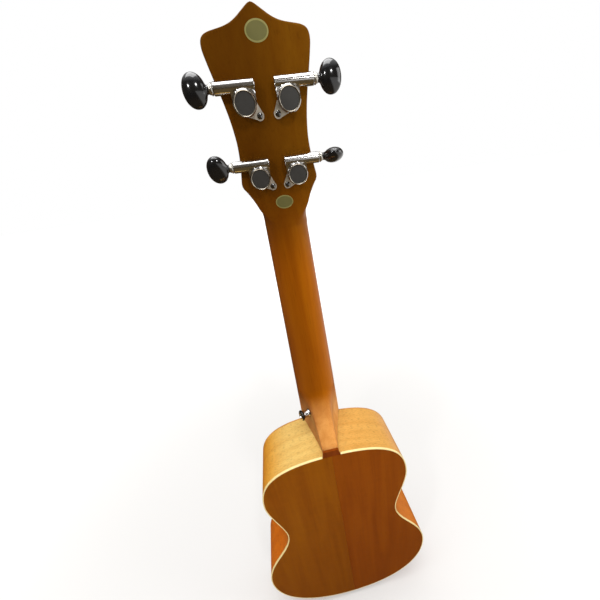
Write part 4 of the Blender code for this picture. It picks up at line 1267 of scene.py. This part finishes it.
class UKULELE_OT_strap_hardware(Operator):
    """Turn the strap button on the heel and the end pin at the tail"""

    bl_idname = "ukulele.strap_hardware"
    bl_label = "Strap button and end pin"

    def execute(self, context):
        seat = seat_of(frame["nodes"]["strap_button"].data)
        shape = spin(((0, 0.0092), *PIN_PROFILE, (0, 0.0001)), seat, PIN_STEPS)
        knob = make_piece("strap_knob", shape, "chrome", "root", ["strap_button"], 55)
        # Painted shade: the knob's rim and underside take a dark finish, for the shadow at its foot
        # and the dark reflection round its edge.
        coat_faces(knob, seat, "shade", lambda spot: spot.z < 0.0098 and spot.xy.length > 0.0045)
        dish = seat @ Matrix.Translation((0, 0, 0.0093))
        make_screw("strap_knob_screw", dish, 0.0008, "strap_screw")
        low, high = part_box("end_pin")
        foot = Matrix.Translation(((low.x + high.x) / 2, (low.y + high.y) / 2, TAIL_Z))
        profile = ((0, 0.0105), (0.0030, 0.0105), *PIN_PROFILE[3:])
        peg = ((0.0022, 0.0001), (0.0020, -0.0120), (0, -0.0125))
        shape = spin(profile + peg, foot @ Matrix.Rotation(pi, 4, "X"), PIN_STEPS)
        make_piece("tail_pin", shape, "chrome", "root", ["end_pin"], 55)
        return {"FINISHED"}


class UKULELE_OT_labels(Operator):
    """Lay two blank foil labels on the head's back"""

    bl_idname = "ukulele.labels"
    bl_label = "Foil labels"

    def execute(self, context):
        size = sizes()
        for name, (x, up) in LABELS.items():
            for part, rim, low, coat in (
                ("label", 0, 0.00001, "foil_rim"), ("label_field", LABEL_RIM, 0.00005, "foil"),
            ):
                wide, high = size.label_wide - rim, size.label_high - rim
                outline = [(x + wide * p.x, up + high * p.y) for p in turned(1, 0, 64)]
                plate = slab(outline, low, low + LABEL_THICK, head_frame())
                make_piece(f"{part}_{name}", plate, coat)
        return {"FINISHED"}


# What shows inside, through the sound hole.

class UKULELE_OT_inside(Operator):
    """Finish the raw wood of the blocks, linings and braces"""

    bl_idname = "ukulele.inside"
    bl_label = "Inside"

    def execute(self, context):
        for node in (
            "neck_block", "tail_block", "bridge_plate", "lining_top", "lining_back",
            "top_brace_upper", "top_brace_lower", "back_brace_upper", "back_brace_lower",
        ):
            coat_node(node, "raw")
        return {"FINISHED"}


# The stage.

# Each light: its place, what it aims at, its size and its power.
LIGHTS = {
    "sky_panel": ((0.05, 0.10, 1.70), (0, 0, 0.3), 1.1, 21),
    "side_panel": ((-1.20, 0.25, 0.75), (0, 0, 0.35), 0.9, 6),
    "lamp_left": ((0.75, 1.10, 1.05), (0, 0, 0.4), 0.14, 4),
    "lamp_right": ((-0.35, 1.30, 1.10), (0, 0, 0.4), 0.14, 4),
}


class UKULELE_OT_stage(Operator):
    """Set the pale floor, the soft lights and the camera"""

    bl_idname = "ukulele.stage"
    bl_label = "Stage"

    def execute(self, context):
        self.floor()
        self.lights(context.scene)
        lens = bpy.data.cameras.new("camera")
        lens.sensor_width = 36.0
        lens.lens = 17.4
        lens.shift_x = -0.0424
        lens.shift_y = 0.0515
        lens.clip_start = 0.01
        camera = add_object("camera", lens)
        camera.location = (0.0120, TOP_Y + 0.2691, NUT_Z + 0.0290)
        camera.rotation_euler = (radians(63.10), radians(7.51), radians(169.41))
        context.scene.camera = camera
        context.scene.view_settings.view_transform = "Standard"
        return {"FINISHED"}

    def floor(self):
        """A floor that takes a soft shadow near the piece and glows white far from it."""
        bm = bmesh.new()
        bmesh.ops.create_grid(bm, x_segments=1, y_segments=1, size=40)
        mesh = bpy.data.meshes.new("floor")
        bm.to_mesh(mesh)
        bm.free()
        made, tree, shader = new_finish("pale_floor")
        rays = add_node(tree, "ShaderNodeLightPath").outputs
        spot = own_place(tree)
        far = add_node(tree, "ShaderNodeVectorMath", {0: spot}, operation="LENGTH").outputs["Value"]
        white = spread(tree, far, 0.24, 1.0, 0.20, 1.60, "SMOOTHSTEP")
        patch = spread(tree, part_of(tree, spot, "X"), 0.0, 0.9, -0.25, -0.50, "SMOOTHSTEP")
        seen = calc(tree, "MULTIPLY", white, rays["Is Camera Ray"])
        mirrored = calc(tree, "MULTIPLY", patch, rays["Is Glossy Ray"])
        shade = blend_colours(tree, grey(0.50), (0.06, 0.035, 0.004), rays["Is Glossy Ray"])
        feed(tree, shader, {
            "Roughness": 0.9,
            "Base Color": shade,
            "Emission Color": (1, 1, 1, 1),
            "Emission Strength": calc(tree, "ADD", seen, mirrored),
        })
        mesh.materials.append(made)
        floor = add_object("floor", mesh)

    def lights(self, scene):
        """A white studio that is dim below and bright above in what the piece mirrors."""
        world = bpy.data.worlds.new("studio")
        scene.world = world
        world.use_nodes = True
        tree = world.node_tree
        rays = add_node(tree, "ShaderNodeLightPath").outputs
        way = add_node(tree, "ShaderNodeTexCoord").outputs["Generated"]
        dim_room = ramp(
            tree, part_of(tree, way, "Z"), (0.0, (0.10, 0.08, 0.05)), (0.58, (0.10, 0.085, 0.07)),
            (0.80, grey(0.9)), (1.0, grey(1.2)),
        )
        seen = blend_colours(tree, (0.60, 0.57, 0.53), dim_room, rays["Is Glossy Ray"])
        seen = blend_colours(tree, seen, WHITE, rays["Is Camera Ray"])
        feed(tree, tree.nodes["Background"], {"Color": seen})
        for name, (place, aim, size, power) in LIGHTS.items():
            data = bpy.data.lights.new(name, "AREA")
            data.size = size
            data.energy = power
            light = add_object(name, data)
            light.location = place
            way = Vector(aim) - Vector(place)
            light.rotation_euler = way.to_track_quat("-Z", "Y").to_euler()


class UKULELE_PT_panel(Panel):
    """Lists the steps that build the ukulele"""

    bl_idname = "UKULELE_PT_panel"
    bl_label = "Ukulele"
    bl_space_type = "VIEW_3D"
    bl_region_type = "UI"
    bl_category = "Ukulele"

    def draw(self, context):
        for step in STEPS:
            self.layout.operator(step.bl_idname)
        for group in (context.scene.ukulele_sizes, context.scene.ukulele_colours):
            column = self.layout.column()
            for name in group.bl_rna.properties.keys()[2:]:
                column.prop(group, name)


STEPS = (
    UKULELE_OT_body, UKULELE_OT_rosette, UKULELE_OT_neck, UKULELE_OT_fingerboard,
    UKULELE_OT_bridge, UKULELE_OT_strings, UKULELE_OT_tuners, UKULELE_OT_strap_hardware,
    UKULELE_OT_labels, UKULELE_OT_inside, UKULELE_OT_stage,
)
CLASSES = (UkuleleSizes, UkuleleColours, *STEPS, UKULELE_PT_panel)


def register():
    for item in CLASSES:
        bpy.utils.register_class(item)
    bpy.types.Scene.ukulele_sizes = PointerProperty(type=UkuleleSizes)
    bpy.types.Scene.ukulele_colours = PointerProperty(type=UkuleleColours)


def unregister():
    del bpy.types.Scene.ukulele_colours
    del bpy.types.Scene.ukulele_sizes
    for item in reversed(CLASSES):
        bpy.utils.unregister_class(item)


def main():
    register()
    for step in STEPS:
        group, name = step.bl_idname.split(".")
        getattr(getattr(bpy.ops, group), name)()


if __name__ == "__main__":
    main()
